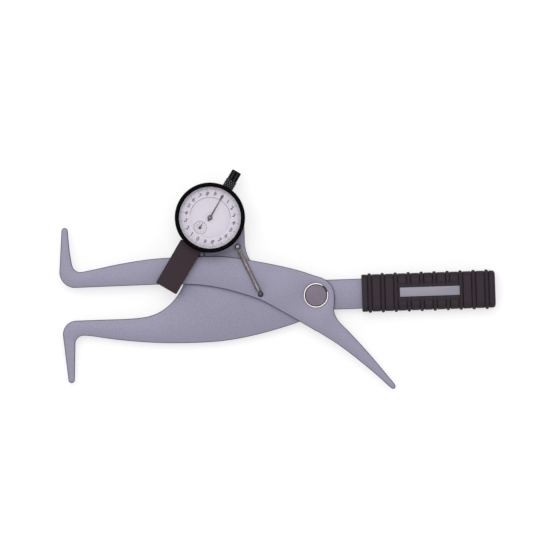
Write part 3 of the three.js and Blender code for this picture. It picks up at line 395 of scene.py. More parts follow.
def finish(name, colour, rough, metal, mottle, mottle_mm, grain, grain_mm, rough_spread=0.08,
           stretch=(1, 1, 1), specular=0.5, alpha=1.0, worn=None, rings_mm=0):
    """A procedural finish: mottled colour, uneven roughness and a fine bump, sized in millimetres.
    The painted shading, if given, is a darker colour and the levels between which the surface turns from it
    to its own: painted shade below, painted highlight above.
    rings_mm gives the pitch of turning marks."""
    material = bpy.data.materials.new(name)
    material.use_nodes = True
    tree = material.node_tree
    shader = tree.nodes["Principled BSDF"]
    shader.inputs["Metallic"].default_value = metal
    shader.inputs["Specular IOR Level"].default_value = specular
    shader.inputs["Alpha"].default_value = alpha
    place, mapping = add(tree, "TexCoord"), add(tree, "Mapping", Scale=stretch)
    tree.links.new(place.outputs["Object"], mapping.inputs["Vector"])
    shade = mottled(tree, mapping, screen(*colour), mottle, mottle_mm)
    if worn:
        shade = worn_below(tree, place, shade, *worn)
    tree.links.new(shade, shader.inputs["Base Color"])
    height = noise(tree, mapping, grain_mm, 3, 0.6)
    least, most = max(rough - rough_spread, 0.02), min(rough + rough_spread, 1)
    spread = add(tree, "MapRange", To_Min=least, To_Max=most)
    tree.links.new(height, spread.inputs["Value"])
    tree.links.new(spread.outputs["Result"], shader.inputs["Roughness"])
    if grain:
        if rings_mm:
            height = turning_marks(tree, place, height, rings_mm)
        bump = add(tree, "Bump", Strength=grain, Distance=grain_mm * MM / 2)
        tree.links.new(height, bump.inputs["Height"])
        tree.links.new(bump.outputs["Normal"], shader.inputs["Normal"])
    return material


SPRING_LEVEL = middle("jaw_spring").z / MM
# Colour on screen, roughness, metal, mottle and its size, grain and its size, and what is special.
FINISHES = {
    "blasted_steel": ((131, 128, 146), 0.55, 0.6, 0.13, 0.9, 0.3, 0.45, {}),
    # The rim finish is painted shade: a darker colour on the bevels for the dark edge lines.
    "rim_painted_shade": ((88, 84, 96), 0.55, 0.6, 0.08, 1.0, 0.2, 0.5, {}),
    "pivot_steel": ((96, 89, 100), 0.42, 0.8, 0.07, 1.5, 0.25, 0.4, {"rings_mm": 0.5}),
    # The stud's rim finish is painted shade: a darker colour on its chamfers.
    "stud_rim_painted_shade": ((92, 84, 90), 0.4, 0.9, 0.07, 1.2, 0.1, 0.4, {}),
    "ring_steel": ((206, 194, 192), 0.3, 1.0, 0.04, 1.0, 0.05, 0.4, {}),
    "bright_steel": ((196, 197, 202), 0.25, 1.0, 0.04, 1.0, 0.05, 0.3, {}),
    "dark_steel": ((62, 58, 66), 0.32, 1.0, 0.1, 1.0, 0.08, 0.3, {}),
    "pin_steel": ((98, 97, 104), 0.5, 0.7, 0.07, 1.0, 0.08, 0.3, {}),
    # The spring's coils are painted darker on their sides and underside and lighter on top: painted shade
    # and a painted highlight by level.
    "spring_steel": ((168, 156, 157), 0.3, 0.7, 0.06, 1.0, 0.05, 0.2,
                     {"worn": ((82, 72, 74), SPRING_LEVEL + 0.6, SPRING_LEVEL + 1.8)}),
    "blue_steel": ((60, 74, 120), 0.3, 1.0, 0.06, 1.0, 0.05, 0.2, {}),
    "screw_steel": ((109, 109, 115), 0.35, 1.0, 0.08, 1.0, 0.08, 0.3, {}),
    "back_steel": ((140, 141, 146), 0.4, 0.9, 0.06, 1.6, 0.1, 0.4, {}),
    "brass": ((186, 150, 86), 0.3, 1.0, 0.06, 1.2, 0.06, 0.3, {"stretch": (1, 8, 1)}),
    "grip_plastic": ((49, 40, 47), 0.6, 0.0, 0.12, 1.2, 0.35, 0.45, {"specular": 0.15}),
    "cover_plastic": ((54, 42, 49), 0.6, 0.0, 0.05, 2.0, 0.15, 0.3, {"specular": 0.12}),
    "label_silver": ((137, 134, 148), 0.55, 0.3, 0.04, 3.0, 0.06, 0.3, {"stretch": (0.15, 3, 1)}),
    "case_black": ((30, 28, 32), 0.45, 0.0, 0.1, 2.0, 0.15, 0.3, {"specular": 0.25}),
    "cap_black": ((5, 4, 6), 0.25, 0.0, 0.1, 1.0, 0.06, 0.25, {"specular": 0.05}),
    # The cap's ridge finish is a painted highlight on the flutes' crests.
    "cap_ridge_painted_highlight": ((40, 38, 40), 0.3, 0.0, 0.15, 1.0, 0.06, 0.25, {"specular": 0.15}),
    # The collar's crest finish is a painted highlight on the knurl's crests.
    "collar_crest_painted_highlight": ((86, 84, 92), 0.35, 0.0, 0.15, 1.0, 0.06, 0.25, {"specular": 0.3}),
    "bezel_black": ((5, 4, 5), 0.28, 0.0, 0.1, 2.0, 0.05, 0.25, {"specular": 0.015}),
    "crystal": ((215, 220, 228), 0.06, 0.0, 0.0, 4.0, 0.0, 1.0, {"rough_spread": 0.01, "alpha": 0.05}),
    "dial_white": ((225, 217, 230), 0.6, 0.0, 0.02, 3.0, 0.04, 0.2, {"specular": 0.3}),
    "dial_ink": ((48, 50, 78), 0.55, 0.0, 0.05, 1.0, 0.02, 0.2, {}),
    "hand_black": ((26, 24, 30), 0.4, 0.0, 0.08, 1.0, 0.05, 0.2, {"specular": 0.3}),
}
FINISH = {name: finish(name, *numbers, **special) for name, (*numbers, special) in FINISHES.items()}


def dress(obj, body, slot, *nodes, look=None, rim=None):
    """A new piece in its finish, riding on its body and standing for the nodes it replaces.
    look names another finish than the slot's, and rim the second one of a piece that has two."""
    indices = [face.material_index for face in obj.data.polygons]
    obj.data.materials.clear()
    obj.data.materials.append(FINISH[look or slot])
    if rim:
        obj.data.materials.append(FINISH[rim])
        obj.data.polygons.foreach_set("material_index", indices)
    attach(obj, body)
    if nodes:
        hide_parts(*nodes)
    return obj


# ---------------------------------------------------------------- jaw plates

STRAIGHT_TURN = 0.02
LONG_CHORD, CORNER_TURN, CHORD_STEP = 19.0, 35.0, 1.2
PLATE_EDGE = 0.6
TRIGGER_ALONG = Vector((0.634, -0.774))
TRIGGER_SLIM, TRIGGER_TOP, TRIGGER_FULL = 0.65, 12, 44


def turn_at(a, b, c):
    """How many degrees a line turns at b, on its way from a to c."""
    return math.degrees((b - a).angle_signed(c - b, 0.0))


def straightened(loop):
    """A loop without the points that lie on a straight line."""
    count = len(loop)
    return [p for i, p in enumerate(loop)
            if abs(turn_at(loop[i - 1], p, loop[(i + 1) % count])) > STRAIGHT_TURN]


def chained(edges):
    """Edges that meet end to end, as closed loops of points in millimetres."""
    meeting = {}
    for edge in edges:
        for vert in edge.verts:
            meeting.setdefault(vert, []).append(edge)
    used, loops = set(), []
    for first in edges:
        if first in used:
            continue
        loop, vert, edge = [], first.verts[0], first
        while edge is not None:
            used.add(edge)
            loop.append(Vector((vert.co.x, vert.co.y)) / MM)
            vert = edge.other_vert(vert)
            edge = next((e for e in meeting[vert] if e not in used), None)
        loops.append(straightened(loop))
    return loops


def section(node, level):
    """The closed outlines where a level cuts a node, in millimetres, the widest first."""
    bm = bmesh.new()
    bm.from_mesh(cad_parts[node].data)
    bmesh.ops.remove_doubles(bm, verts=bm.verts, dist=WELD)
    cut = bmesh.ops.bisect_plane(bm, geom=bm.verts[:] + bm.edges[:] + bm.faces[:],
                                 plane_co=(0, 0, level * MM), plane_no=(0, 0, 1))
    loops = chained([e for e in cut["geom_cut"] if isinstance(e, bmesh.types.BMEdge)])
    bm.free()
    return sorted(loops, key=lambda loop: min(p.x for p in loop) - max(p.x for p in loop))


def headings(loop, chords):
    """The directions in which a smooth line arrives at each point of a loop, and leaves it."""
    arriving, leaving = [], []
    for i, after in enumerate(chords):
        before = chords[i - 1]
        first, second = before.normalized(), after.normalized()
        corner = abs(turn_at(loop[i - 1], loop[i], loop[(i + 1) % len(loop)])) > CORNER_TURN
        from_long, to_long = before.length > LONG_CHORD, after.length > LONG_CHORD
        if not corner and from_long and not to_long:
            second = first
        elif not corner and to_long and not from_long:
            first = second
        elif not corner:
            first = second = (first * after.length + second * before.length).normalized()
        arriving.append(first)
        leaving.append(second)
    return arriving, leaving


def hermite(a, b, out_of, into, t):
    """A point of the smooth line from a to b that leaves and arrives in two directions."""
    return (a * (2 * t ** 3 - 3 * t ** 2 + 1) + out_of * (t ** 3 - 2 * t ** 2 + t)
            + b * (3 * t ** 2 - 2 * t ** 3) + into * (t ** 3 - t ** 2))


def rounded_loop(loop):
    """A loop of short chords as a smooth line through their ends. Long chords stay straight."""
    count = len(loop)
    chords = [loop[(i + 1) % count] - loop[i] for i in range(count)]
    arriving, leaving = headings(loop, chords)
    made = []
    for i, chord in enumerate(chords):
        made.append(loop[i].copy())
        length, n = chord.length, (i + 1) % count
        if length > LONG_CHORD:
            continue
        pieces = max(3, round(length / CHORD_STEP))
        made += [hermite(loop[i], loop[n], leaving[i] * length, arriving[n] * length, k / pieces)
                 for k in range(1, pieces)]
    return made


def round_hole(loop, sides=48):
    """A circle through the points of a hole."""
    centre = sum(loop, Vector((0, 0))) / len(loop)
    radius = sum((p - centre).length for p in loop) / len(loop)
    return circle(radius, sides, centre.x, centre.y)


def slim_trigger(loop):
    """A loop whose trigger is drawn in sideways, up to TRIGGER_SLIM millimetres, with its length kept."""
    turn = math.copysign(1, signed_area(loop))
    made = []
    for p, side in zip(loop, inward_sides(loop)):
        inward = side * turn
        sideways = inward - TRIGGER_ALONG * inward.dot(TRIGGER_ALONG)
        share = (-p.y - TRIGGER_TOP) / (TRIGGER_FULL - TRIGGER_TOP) if p.x > 0 else 0
        made.append(p + sideways * TRIGGER_SLIM * min(max(share, 0), 1))
    return made


def plate(name, node, body, shaped=list):
    """A jaw plate along its solid's outline, with bevelled rims in a darker finish of their own that is
    painted shade along the edges.
    """
    back, front = bottom(node), top(node)
    loops = section(node, (back + front) / 2)
    outline = [tuple(p) for p in shaped(rounded_loop(loops[0]))]
    holes = [round_hole(loop) for loop in loops[1:]]
    made = slab(name, [outline] + holes, back, front, PLATE_EDGE, bevel=True)
    # The plates' bevels take the darker rim finish, painted shade along the edges.
    return dress(rimmed(made), body, "blasted_steel", node, rim="rim_painted_shade")


plate("rear_jaw", "frame_plate", "frame")
plate("front_jaw", "lever_plate", "lever", slim_trigger)


# ---------------------------------------------------------------- pivot

FLANGE_RADIUS, FLANGE_HIGH = 12, 3
STUD_RADIUS, STUD_BEVEL, STUD_EASE = 8.9, 0.75, 0.12
GROOVE_RADIUS, GROOVE_ROOM = 8, 0.2
RING_RADIUS, RING_WIRE, RING_FLATTEN = 9.3, 0.65, 0.9
RING_FROM, RING_TO, RING_STEPS = 54, 378, 96
RING_TIP, RING_TIP_STEPS = 0.55, 2
WASHER_INNER, WASHER_OUTER = 9.2, 13.6

stud_top = top("pivot_stud")
ring_low, ring_high = bottom("snap_ring"), top("snap_ring")
stud = lathe("pivot_stud_turned", [
    (0, 0), (FLANGE_RADIUS, 0), (FLANGE_RADIUS, FLANGE_HIGH), (STUD_RADIUS, FLANGE_HIGH),
    (STUD_RADIUS, ring_low - GROOVE_ROOM), (GROOVE_RADIUS, ring_low - GROOVE_ROOM),
    (GROOVE_RADIUS, ring_high + GROOVE_ROOM), (STUD_RADIUS, ring_high + GROOVE_ROOM),
    (STUD_RADIUS, stud_top - STUD_BEVEL), (STUD_RADIUS - STUD_BEVEL, stud_top), (0, stud_top),
], 128, STUD_EASE)
# The stud's chamfers take the darker rim finish, painted shade round the disc's edge.
dress(rimmed(stud), "frame", "pivot_steel", "pivot_stud", rim="stud_rim_painted_shade")

ring_middle = (ring_low + ring_high) / 2
ring_line = [(*round_point(RING_RADIUS, RING_FROM + (RING_TO - RING_FROM) * k / RING_STEPS), ring_middle)
             for k in range(RING_STEPS + 1)]


def ring_taper(t):
    """The ring's wire, rounded off at its two ends."""
    reach = min(t, 1 - t) * RING_STEPS / RING_TIP_STEPS
    size = RING_TIP + (1 - RING_TIP) * math.sin(min(reach, 1) * TURN / 4)
    return circle(RING_WIRE * size, 16, flatten=RING_FLATTEN)


dress(swept("snap_ring_wire", ring_line, ring_taper), "frame", "ring_steel", "snap_ring")


def band(inner, outer, back, front):
    """The profile of a flat ring between two radii and two levels."""
    return [(inner, back), (outer, back), (outer, front), (inner, front)]


washer = band(WASHER_INNER, WASHER_OUTER, bottom("pivot_washer"), top("pivot_washer"))
dress(lathe("pivot_washer_thin", washer, 96, 0.08, True), "frame", "bright_steel", "pivot_washer")


# ---------------------------------------------------------------- pins

HEAD_HIGH = 0.8
FRAME_SHOULDER = 6.9
LEVER_SHOULDER = top("lever_plate") - 0.1


def pin(node, body, slot, shank, radius, shoulder, head=None, ease=0.4, look=None):
    """A turned pin: a shank in its plate, a wider body and, if it has one, a head."""
    back, front = bottom(node), top(node)
    profile = [(0, back), (shank, back), (shank, shoulder), (radius, shoulder)]
    if head:
        profile += [(radius, front - HEAD_HIGH), (head, front - HEAD_HIGH), (head, front), (0, front)]
    else:
        profile += [(radius, front), (0, front)]
    made = lathe(node + "_turned", profile, 48, ease, place=spot(node))
    return dress(made, body, slot, node, look=look)


pin("stop_pin", "frame", "bright_steel", 2.0, 1.6, FRAME_SHOULDER, ease=0.1, look="pin_steel")
pin("spring_anchor", "frame", "bright_steel", 1.9, 0.95, FRAME_SHOULDER, head=1.5, look="screw_steel")
pin("spring_pin", "lever", "dark_steel", 1.9, 0.95, LEVER_SHOULDER, head=1.15)
pin("drive_pin", "lever", "bright_steel", 1.8, 2.0, LEVER_SHOULDER)


# ---------------------------------------------------------------- springs

HOOK_STEPS, COIL_STEPS = 12, 20


def spring_line(start, end, level, radius, turns, pitch, hook, lead):
    """Hook, coil and hook between two pins, the coil in the middle. Millimetres."""
    span = (end - start).length
    along = (end - start).normalized()
    across = Vector((-along.y, along.x))

    def at(t, s, h):
        p = start + along * t + across * s
        return Vector((p.x, p.y, level + h))

    def hook_point(centre, angle):
        return at(centre + math.sin(angle) * hook, math.cos(angle) * hook, 0)

    first = (span - turns * pitch) / 2
    line = [at(lead, -hook, 0)]
    line += [hook_point(0, math.pi * (1 + i / HOOK_STEPS)) for i in range(HOOK_STEPS + 1)]
    near, low = line[-1], at(first, radius, 0)
    line += [near.lerp(low, k) for k in (0.35, 0.7)]
    for i in range(turns * COIL_STEPS + 1):
        angle = TURN * i / COIL_STEPS
        line.append(at(first + pitch * i / COIL_STEPS, math.cos(angle) * radius, math.sin(angle) * radius))
    far = at(span, hook, 0)
    for k in (0.3, 0.65):
        line.append(line[-1].lerp(far, k))
    line += [hook_point(span, math.pi * i / HOOK_STEPS) for i in range(HOOK_STEPS + 1)]
    line.append(at(span - lead, -hook, 0))
    return line


def pulled_spring(node, slot, first, second, body, wire, **shape):
    """A spring hooked to a pin of the frame and to a pin of another body, swept once between them where
    they stand.
    """
    level = middle(node).z
    start, end = middle(first), middle(second)
    line = spring_line(start.xy / MM, end.xy / MM, level / MM, **shape)
    made = swept(node + "_coil", line, circle(wire, 8))
    made.data.materials.append(FINISH[slot])
    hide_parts(node)
    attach(made, "frame")
    made.parent = None
    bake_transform(made)


pulled_spring("jaw_spring", "spring_steel", "spring_anchor", "spring_pin", "lever", 0.33,
              radius=1.55, turns=46, pitch=0.78, hook=1.55, lead=1.0)
pulled_spring("return_spring", "bright_steel", "return_spring_post", "guide_pin", "plunger", 0.25,
              radius=1.2, turns=7, pitch=4.3, hook=1.35, lead=1.2)


# ---------------------------------------------------------------- grip

GRIP_LENGTH, GRIP_HALF, GRIP_DEPTH, GRIP_CORNER, GRIP_LEVEL = 106.7, 14.94, 8.0, 5.5, 5.0
RIB_START, RIB_PITCH, RIB_COUNT, RIB_RISE, RIB_WIDTH, RIB_GROOVE = 6.3, 10.4, 10, 1.0, 2.8, 0.75
RIB_STATIONS = (0, 0.2, 0.45, 0.7, 0.9, 1, 1.1, 1.3, 1.5, 1.6)
FRONT_ROUND, FRONT_FALL, END_ROUND = 0.9, 0.6, 2.4
PANEL_FROM, PANEL_TO, PANEL_HALF, PANEL_SUNK = 28.05, 78.57, 7.1, 0.5
LABEL_FROM, LABEL_TO, LABEL_HALF, LABEL_Y = 30.3, 78.12, 3.68, -0.1
SEAT_ROOM, SEAT_SUNK = 0.3, 0.6
BEAD_CORNER, BEAD_RADIUS, BEAD_SUNK = 0.9, 0.4, 0.15
TANG_POCKET = ((-1, -12.54, 2.7), (80.3, 12.06, 7.3))


def rib_rise(x):
    """How far the grip's skin stands out at a place along it: a rib between two grooves."""
    nearest = RIB_START + RIB_PITCH * min(max(round((x - RIB_START) / RIB_PITCH), 0), RIB_COUNT - 1)
    away = abs(x - nearest) / (RIB_WIDTH / 2)
    if away < 1:
        return RIB_RISE * math.cos(away * TURN / 4) ** 0.8
    return -RIB_GROOVE * max(1 - abs(away - 1.3) / 0.3, 0) ** 0.6


def skin_rise(x):
    """How far the grip's skin stands out, its two ends rounded."""
    if x < FRONT_ROUND:
        return -FRONT_FALL * (1 - math.sqrt(1 - ((FRONT_ROUND - x) / FRONT_ROUND) ** 2))
    if x > GRIP_LENGTH - END_ROUND:
        reach = (x - GRIP_LENGTH + END_ROUND) / END_ROUND
        return -END_ROUND * (1 - math.sqrt(max(1 - reach ** 2, 0)))
    return rib_rise(x)


def grip_ring(bm, x):
    """The grip's outline at a place along it, a box with round corners."""
    corner = GRIP_CORNER + skin_rise(x)
    ring = []
    for side_y, side_z, start in QUARTERS:
        for k in range(9):
            angle = math.radians(start + 90 * k / 8)
            y = side_y * (GRIP_HALF - GRIP_CORNER) + math.cos(angle) * corner
            z = side_z * (GRIP_DEPTH - GRIP_CORNER) + math.sin(angle) * corner
            ring.append(bm.verts.new(mm(x, y, z + GRIP_LEVEL)))
    return ring


def grip_skin():
    """The grip's solid form, with a ring of points at each place where its skin bends."""
    stations = {0.0, 0.15, 0.45, FRONT_ROUND, GRIP_LENGTH}
    stations.update(GRIP_LENGTH - s for s in (END_ROUND, 1.6, 0.9, 0.4, 0.1))
    for i in range(RIB_COUNT):
        at = RIB_START + RIB_PITCH * i
        stations.update(at + RIB_WIDTH / 2 * side * s for side in (-1, 1) for s in RIB_STATIONS)
    bm = bmesh.new()
    tube(bm, [grip_ring(bm, x) for x in sorted(stations)])
    return from_bmesh("grip_moulded", bm)


def panel_bead(level):
    """The fine bead round the panel."""
    line = []
    for side_x, side_y, start in QUARTERS:
        cx = PANEL_TO - BEAD_CORNER if side_x > 0 else PANEL_FROM + BEAD_CORNER
        for k in range(7):
            p = round_point(BEAD_CORNER, start + 15 * k)
            line.append((cx + p.x, side_y * (PANEL_HALF - BEAD_CORNER) + p.y, level))
    return swept("bead", line, circle(BEAD_RADIUS, 12), closed=True)


grip_front = GRIP_LEVEL + GRIP_DEPTH
panel_level = grip_front - PANEL_SUNK
grip = grip_skin()
pocket = box("pocket", *TANG_POCKET)
panel = box("panel", (PANEL_FROM, -PANEL_HALF, panel_level), (PANEL_TO, PANEL_HALF, grip_front + 3), 0.4)
seat = box("seat", (LABEL_FROM - SEAT_ROOM, LABEL_Y - LABEL_HALF - SEAT_ROOM, panel_level - SEAT_SUNK),
           (LABEL_TO + SEAT_ROOM, LABEL_Y + LABEL_HALF + SEAT_ROOM, panel_level + SEAT_ROOM))
carved(grip, pocket, panel, seat)
carved(grip, panel_bead(grip_front - BEAD_SUNK), operation="UNION")
grip.data.transform(GRIP)
dress(grip, "frame", "grip_plastic", "grip")

label = box("label_blank", (LABEL_FROM, LABEL_Y - LABEL_HALF, panel_level - 0.3),
            (LABEL_TO, LABEL_Y + LABEL_HALF, panel_level + PANEL_SUNK), 0.15, GRIP)
dress(label, "frame", "label_silver", "label_plate")


# ---------------------------------------------------------------- dial housing

KNURLS, KNURL_IN = 150, 0.22
RIM_OUTER, RIM_SEAT, RIM_LEDGE = 28, 25.9, 25.3
GLASS_RADIUS, GLASS_SHOWN = 25.55, 24.6
FACE_SPLIT, FACE_GAP, FACE_OUTER, ARBOR_HOLE = 16.0, 0.02, 25, 1.05
CASE_INNER, CASE_OUTER, CASE_BACK = 24, 25.6, 7
STEM_BORE = 4.3

bezel_back, bezel_front = bottom("bezel"), top("bezel")
glass_back, glass_front = bottom("crystal"), top("crystal")
face_back, face_front = bottom("dial_ring"), top("dial_ring")


def knurl(angle, p):
    """Fine ridges round the middle of the bezel's rim."""
    knurled = bezel_back + 1.4 < p.y < bezel_front - 2.4 and p.x > 27.5
    return KNURL_IN * (0.5 - 0.5 * math.cos(angle * KNURLS)) if knurled else 0


rim = [(RIM_SEAT, bezel_back), (27.7, bezel_back)]
rim += [(RIM_OUTER, bezel_back + level) for level in (0.3, 1.3, 1.7)]
rim += [(RIM_OUTER, bezel_front - level) for level in (2.9, 2.3, 1.1)]
rim += [(27.72, bezel_front - 0.42), (27.1, bezel_front - 0.06), (26.7, bezel_front),
        (25.6, bezel_front - 0.05), (24.85, bezel_front - 0.22), (GLASS_SHOWN, bezel_front - 0.5),
        (RIM_SEAT, bezel_front - 0.5), (RIM_SEAT, glass_back - 0.1), (RIM_LEDGE, glass_back - 0.1),
        (RIM_LEDGE, face_back - 0.1), (RIM_SEAT, face_back - 0.1)]
dress(lathe("bezel_rim", rim, 600, 0, True, knurl, DIAL), "turning_bezel", "bezel_black", "bezel")

glass = [(0, glass_back), (GLASS_RADIUS, glass_back), (GLASS_RADIUS, glass_front),
         (GLASS_SHOWN, glass_front), (12, glass_front), (0, glass_front)]
dress(lathe("crystal_disc", glass, 128, 0.1, place=DIAL), "turning_bezel", "crystal", "crystal")

face_ring = band(FACE_SPLIT + FACE_GAP, FACE_OUTER, face_back, face_front)
dress(lathe("dial_ring_plate", face_ring, 160, 0.05, True, place=DIAL), "turning_bezel", "dial_white",
      "dial_ring")

counter = DIAL.inverted() @ Vector((*middle("counter_wheel").xy, 0)) / MM
disc_outline = [circle(FACE_SPLIT - FACE_GAP, 160), circle(ARBOR_HOLE, 32),
                circle(ARBOR_HOLE, 32, counter.x, counter.y)]
dress(slab("dial_disc_plate", disc_outline, face_back, face_front, 0.04, 2, DIAL), "frame", "dial_white",
      "dial_disc")

shell = lathe("case_shell", band(CASE_INNER, CASE_OUTER, CASE_BACK, top("dial_case")), 160, 0.2, True,
              place=DIAL)
bore = lathe("bore", [(0, -30), (STEM_BORE, -30), (STEM_BORE, 30), (0, 30)], 48, place=ALONG)
dress(carved(shell, bore), "frame", "case_black", "dial_case")


# ---------------------------------------------------------------- marks on the dial

PRINT_LOW, PRINT_HIGH = face_front - 0.02, face_front + 0.03
TICKS, TICK_OUTER, TICK_LONG, TICK_MIDDLE, TICK_SHORT = 200, 23.9, 21.3, 21.9, 22.5
NUMERALS, NUMERAL_SIZE, NUMERAL_RADIUS = 20, 4.3, 19.3
ARC_RADIUS, ARC_WIDTH, ARC_FROM, ARC_TO = 16.3, 0.3, -112, 60
SMALL_RADIUS, SMALL_WIDTH, SMALL_TICKS = 5.2, 0.28, 20
SMALL_SIZE, SMALL_NUMERALS = 1.2, 3.2
DRAW_FROM, DRAW_REACH, DRAW_EDGE = 14.0, 16.64, 15.93


def mark(bm, corners):
    """One thin printed mark from its corners in the dial's plane, in millimetres."""
    low = [bm.verts.new(mm(x, y, PRINT_LOW)) for x, y in corners]
    high = [bm.verts.new(mm(x, y, PRINT_HIGH)) for x, y in corners]
    bm.faces.new(low[::-1])
    bm.faces.new(high)
    bridge(bm, low, high)


def tick(bm, bearing, inner, outer, width, x=0.0, y=0.0):
    """A radial mark at a bearing from the top, clockwise in degrees."""
    out = round_point(1, 90 - bearing)
    side = Vector((-out.y, out.x)) * width / 2
    centre = Vector((x, y))
    ends = ((inner, -side), (outer, -side), (outer, side), (inner, side))
    mark(bm, [centre + out * r + s for r, s in ends])


def arc_line(bm, radius, width, start=0, end=360, x=0.0, y=0.0, sides=96):
    """A printed line between two bearings from the top, in degrees. A whole turn closes on itself."""
    whole = end - start >= 360
    corners = band(radius - width / 2, radius + width / 2, PRINT_LOW, PRINT_HIGH)
    rings = []
    for k in range(sides if whole else sides + 1):
        angle = math.radians(90 - start - (end - start) * k / sides)
        rings.append([bm.verts.new(mm(x + math.cos(angle) * r, y + math.sin(angle) * r, z))
                      for r, z in corners])
    tube(bm, rings, whole)


def digit_mesh(text, size):
    """A numeral as a thin closed mesh, centred on the origin."""
    curve = bpy.data.curves.new("digit", "FONT")
    curve.body = text
    curve.size = size * MM
    curve.extrude = (PRINT_HIGH - PRINT_LOW) / 2 * MM
    curve.offset = 0.032 * size * MM
    curve.resolution_u = 4
    curve.align_x, curve.align_y = "CENTER", "CENTER"
    obj = bpy.data.objects.new("digit", curve)
    scene.collection.objects.link(obj)
    mesh = evaluated_mesh(obj)
    bpy.data.objects.remove(obj)
    low = Vector(map(min, zip(*(v.co for v in mesh.vertices))))
    high = Vector(map(max, zip(*(v.co for v in mesh.vertices))))
    shift = (low + high) / 2
    mesh.transform(Matrix.Translation((-shift.x, -shift.y, -shift.z + (PRINT_LOW + PRINT_HIGH) / 2 * MM)))
    return mesh


def numeral(bm, mesh, bearing, radius, x=0.0, y=0.0):
    """A numeral upright to the reader of the dial, at a bearing from the top."""
    angle = math.radians(90 - bearing)
    copy = mesh.copy()
    copy.transform(Matrix.Translation(mm(x + math.cos(angle) * radius, y + math.sin(angle) * radius)))
    bm.from_mesh(copy)
    bpy.data.meshes.remove(copy)


def within_disc(radius):
    """How much a mark near the disc's edge draws in, so that it ends on the disc."""
    drawn = (DRAW_REACH - DRAW_EDGE) / (DRAW_REACH - DRAW_FROM)
    return 1 - max(radius - DRAW_FROM, 0) * drawn / radius


def ring_marks():
    """The graduated ring's scale, numerals and inner line."""
    bm = bmesh.new()
    digits = [digit_mesh(str(i), NUMERAL_SIZE) for i in range(10)]
    for i in range(TICKS):
        long, mid = i % 10 == 0, i % 5 == 0
        inner = TICK_LONG if long else TICK_MIDDLE if mid else TICK_SHORT
        tick(bm, i * 360 / TICKS, inner, TICK_OUTER, 0.26 if long else 0.1)
    for i in range(NUMERALS):
        numeral(bm, digits[i % 10], i * 360 / NUMERALS, NUMERAL_RADIUS)
    arc_line(bm, ARC_RADIUS, ARC_WIDTH, ARC_FROM, ARC_TO)
    return from_bmesh("dial_ring_print", bm, place=DIAL)


def disc_marks():
    """The counter's own small dial, drawn in where it would pass the disc's edge."""
    bm = bmesh.new()
    digits = [digit_mesh(str(i), SMALL_SIZE) for i in range(10)]
    cx, cy = counter.x, counter.y
    arc_line(bm, SMALL_RADIUS, SMALL_WIDTH, x=cx, y=cy, sides=64)
    for i in range(SMALL_TICKS):
        tick(bm, i * 360 / SMALL_TICKS, 4.2 if i % 2 == 0 else 4.7, SMALL_RADIUS, 0.2, cx, cy)
    for i in range(10):
        numeral(bm, digits[i], i * 36, SMALL_NUMERALS, cx, cy)
    for v in bm.verts:
        v.co.xy *= within_disc(v.co.xy.length / MM)
    return from_bmesh("dial_disc_print", bm, place=DIAL)


dress(ring_marks(), "turning_bezel", "dial_white", look="dial_ink")
dress(disc_marks(), "frame", "dial_white", look="dial_ink")


# ---------------------------------------------------------------- hands

NEEDLE = [(0.72, -3), (0.62, 1.9), (0.3, 16.2), (0.8, 17.8), (0, 21.1), (-0.8, 17.8), (-0.3, 16.2),
          (-0.62, 1.9), (-0.72, -3)]
SMALL_NEEDLE = [(0.42, -1.2), (0.42, 1.0), (0, 4.5), (-0.42, 1.0), (-0.42, -1.2)]
HUB_RADIUS, HUB_NECK, HUB_PIN, SMALL_HUB = 1.95, 1.5, 0.75, 1.25
SMALL_HAND_TURN = -2

low, high = bottom("main_hand"), top("main_hand")
blade = slab("blade", [NEEDLE], low + 0.3, low + 0.6, 0.08, 2)
hub = lathe("hub", [(0, low), (HUB_RADIUS, low), (HUB_RADIUS, high - 0.7), (HUB_NECK, high - 0.35),
                    (HUB_PIN, high - 0.35), (HUB_PIN, high), (0, high)], 48, 0.12)
hand = combined("main_hand_fine", [blade, hub])
for face in hand.data.polygons:
    face.material_index = int(face.center.xy.length < 0.72 * MM and face.center.z > (high - 0.3) * MM)
hand.data.transform(DIAL)
dress(hand, "centre_gear", "hand_black", "main_hand", rim="screw_steel")

low, high = bottom("small_hand"), top("small_hand")
blade = slab("blade", [SMALL_NEEDLE], low, low + 0.25, 0.05, 2)
hub = lathe("hub", [(0, low), (SMALL_HUB, low), (SMALL_HUB, high), (0, high)], 40, 0.12)
hand = combined("small_hand_fine", [blade, hub])
hand.data.transform(DIAL @ Matrix.Translation(mm(counter.x, counter.y)) @ turned(SMALL_HAND_TURN))
dress(hand, "counter_gear", "hand_black", "small_hand")


# ---------------------------------------------------------------- dust cap, stem and spindle

STEM_INNER, STEM_OUTER, STEM_FLANGE = 2.6, 4, 5.4
# COLLAR_CREST and CAP_CREST are the radii beyond which faces take a lighter finish, a painted highlight.
COLLAR_RADIUS, COLLAR_CREST = 4.5, 4.37
COLLAR_LOW, COLLAR_HIGH, COLLAR_STEP = 26.2, 34.3, 0.18
CROSS_AROUND, CROSS_PITCH, CROSS_DEEP = 12, 2.7, 0.32
CAP_RADIUS, CAP_CREST, CAP_FLUTES, FLUTE_DEEP = 4.15, 4.11, 8, 0.8
FOOT_LOW, FOOT_HIGH, FOOT_EDGE = (-8, -38, stem_level - 2.3), (4.6, -36.3, stem_level + 2.3), 0.35


def crossed_knurl(angle, p):
    """Two crossing sets of grooves round the collar."""
    around, along = angle * CROSS_AROUND, p.y * (TURN / CROSS_PITCH)
    groove = max(math.cos(around + along), math.cos(around - along))
    return CROSS_DEEP * (0.5 + 0.5 * groove) ** 2 if p.x > 4.4 else 0


def cap_flutes(angle, p):
    """Round flutes along the cap."""
    return FLUTE_DEEP * (0.5 + 0.5 * math.cos(angle * CAP_FLUTES)) ** 2 if p.x > 3.7 else 0


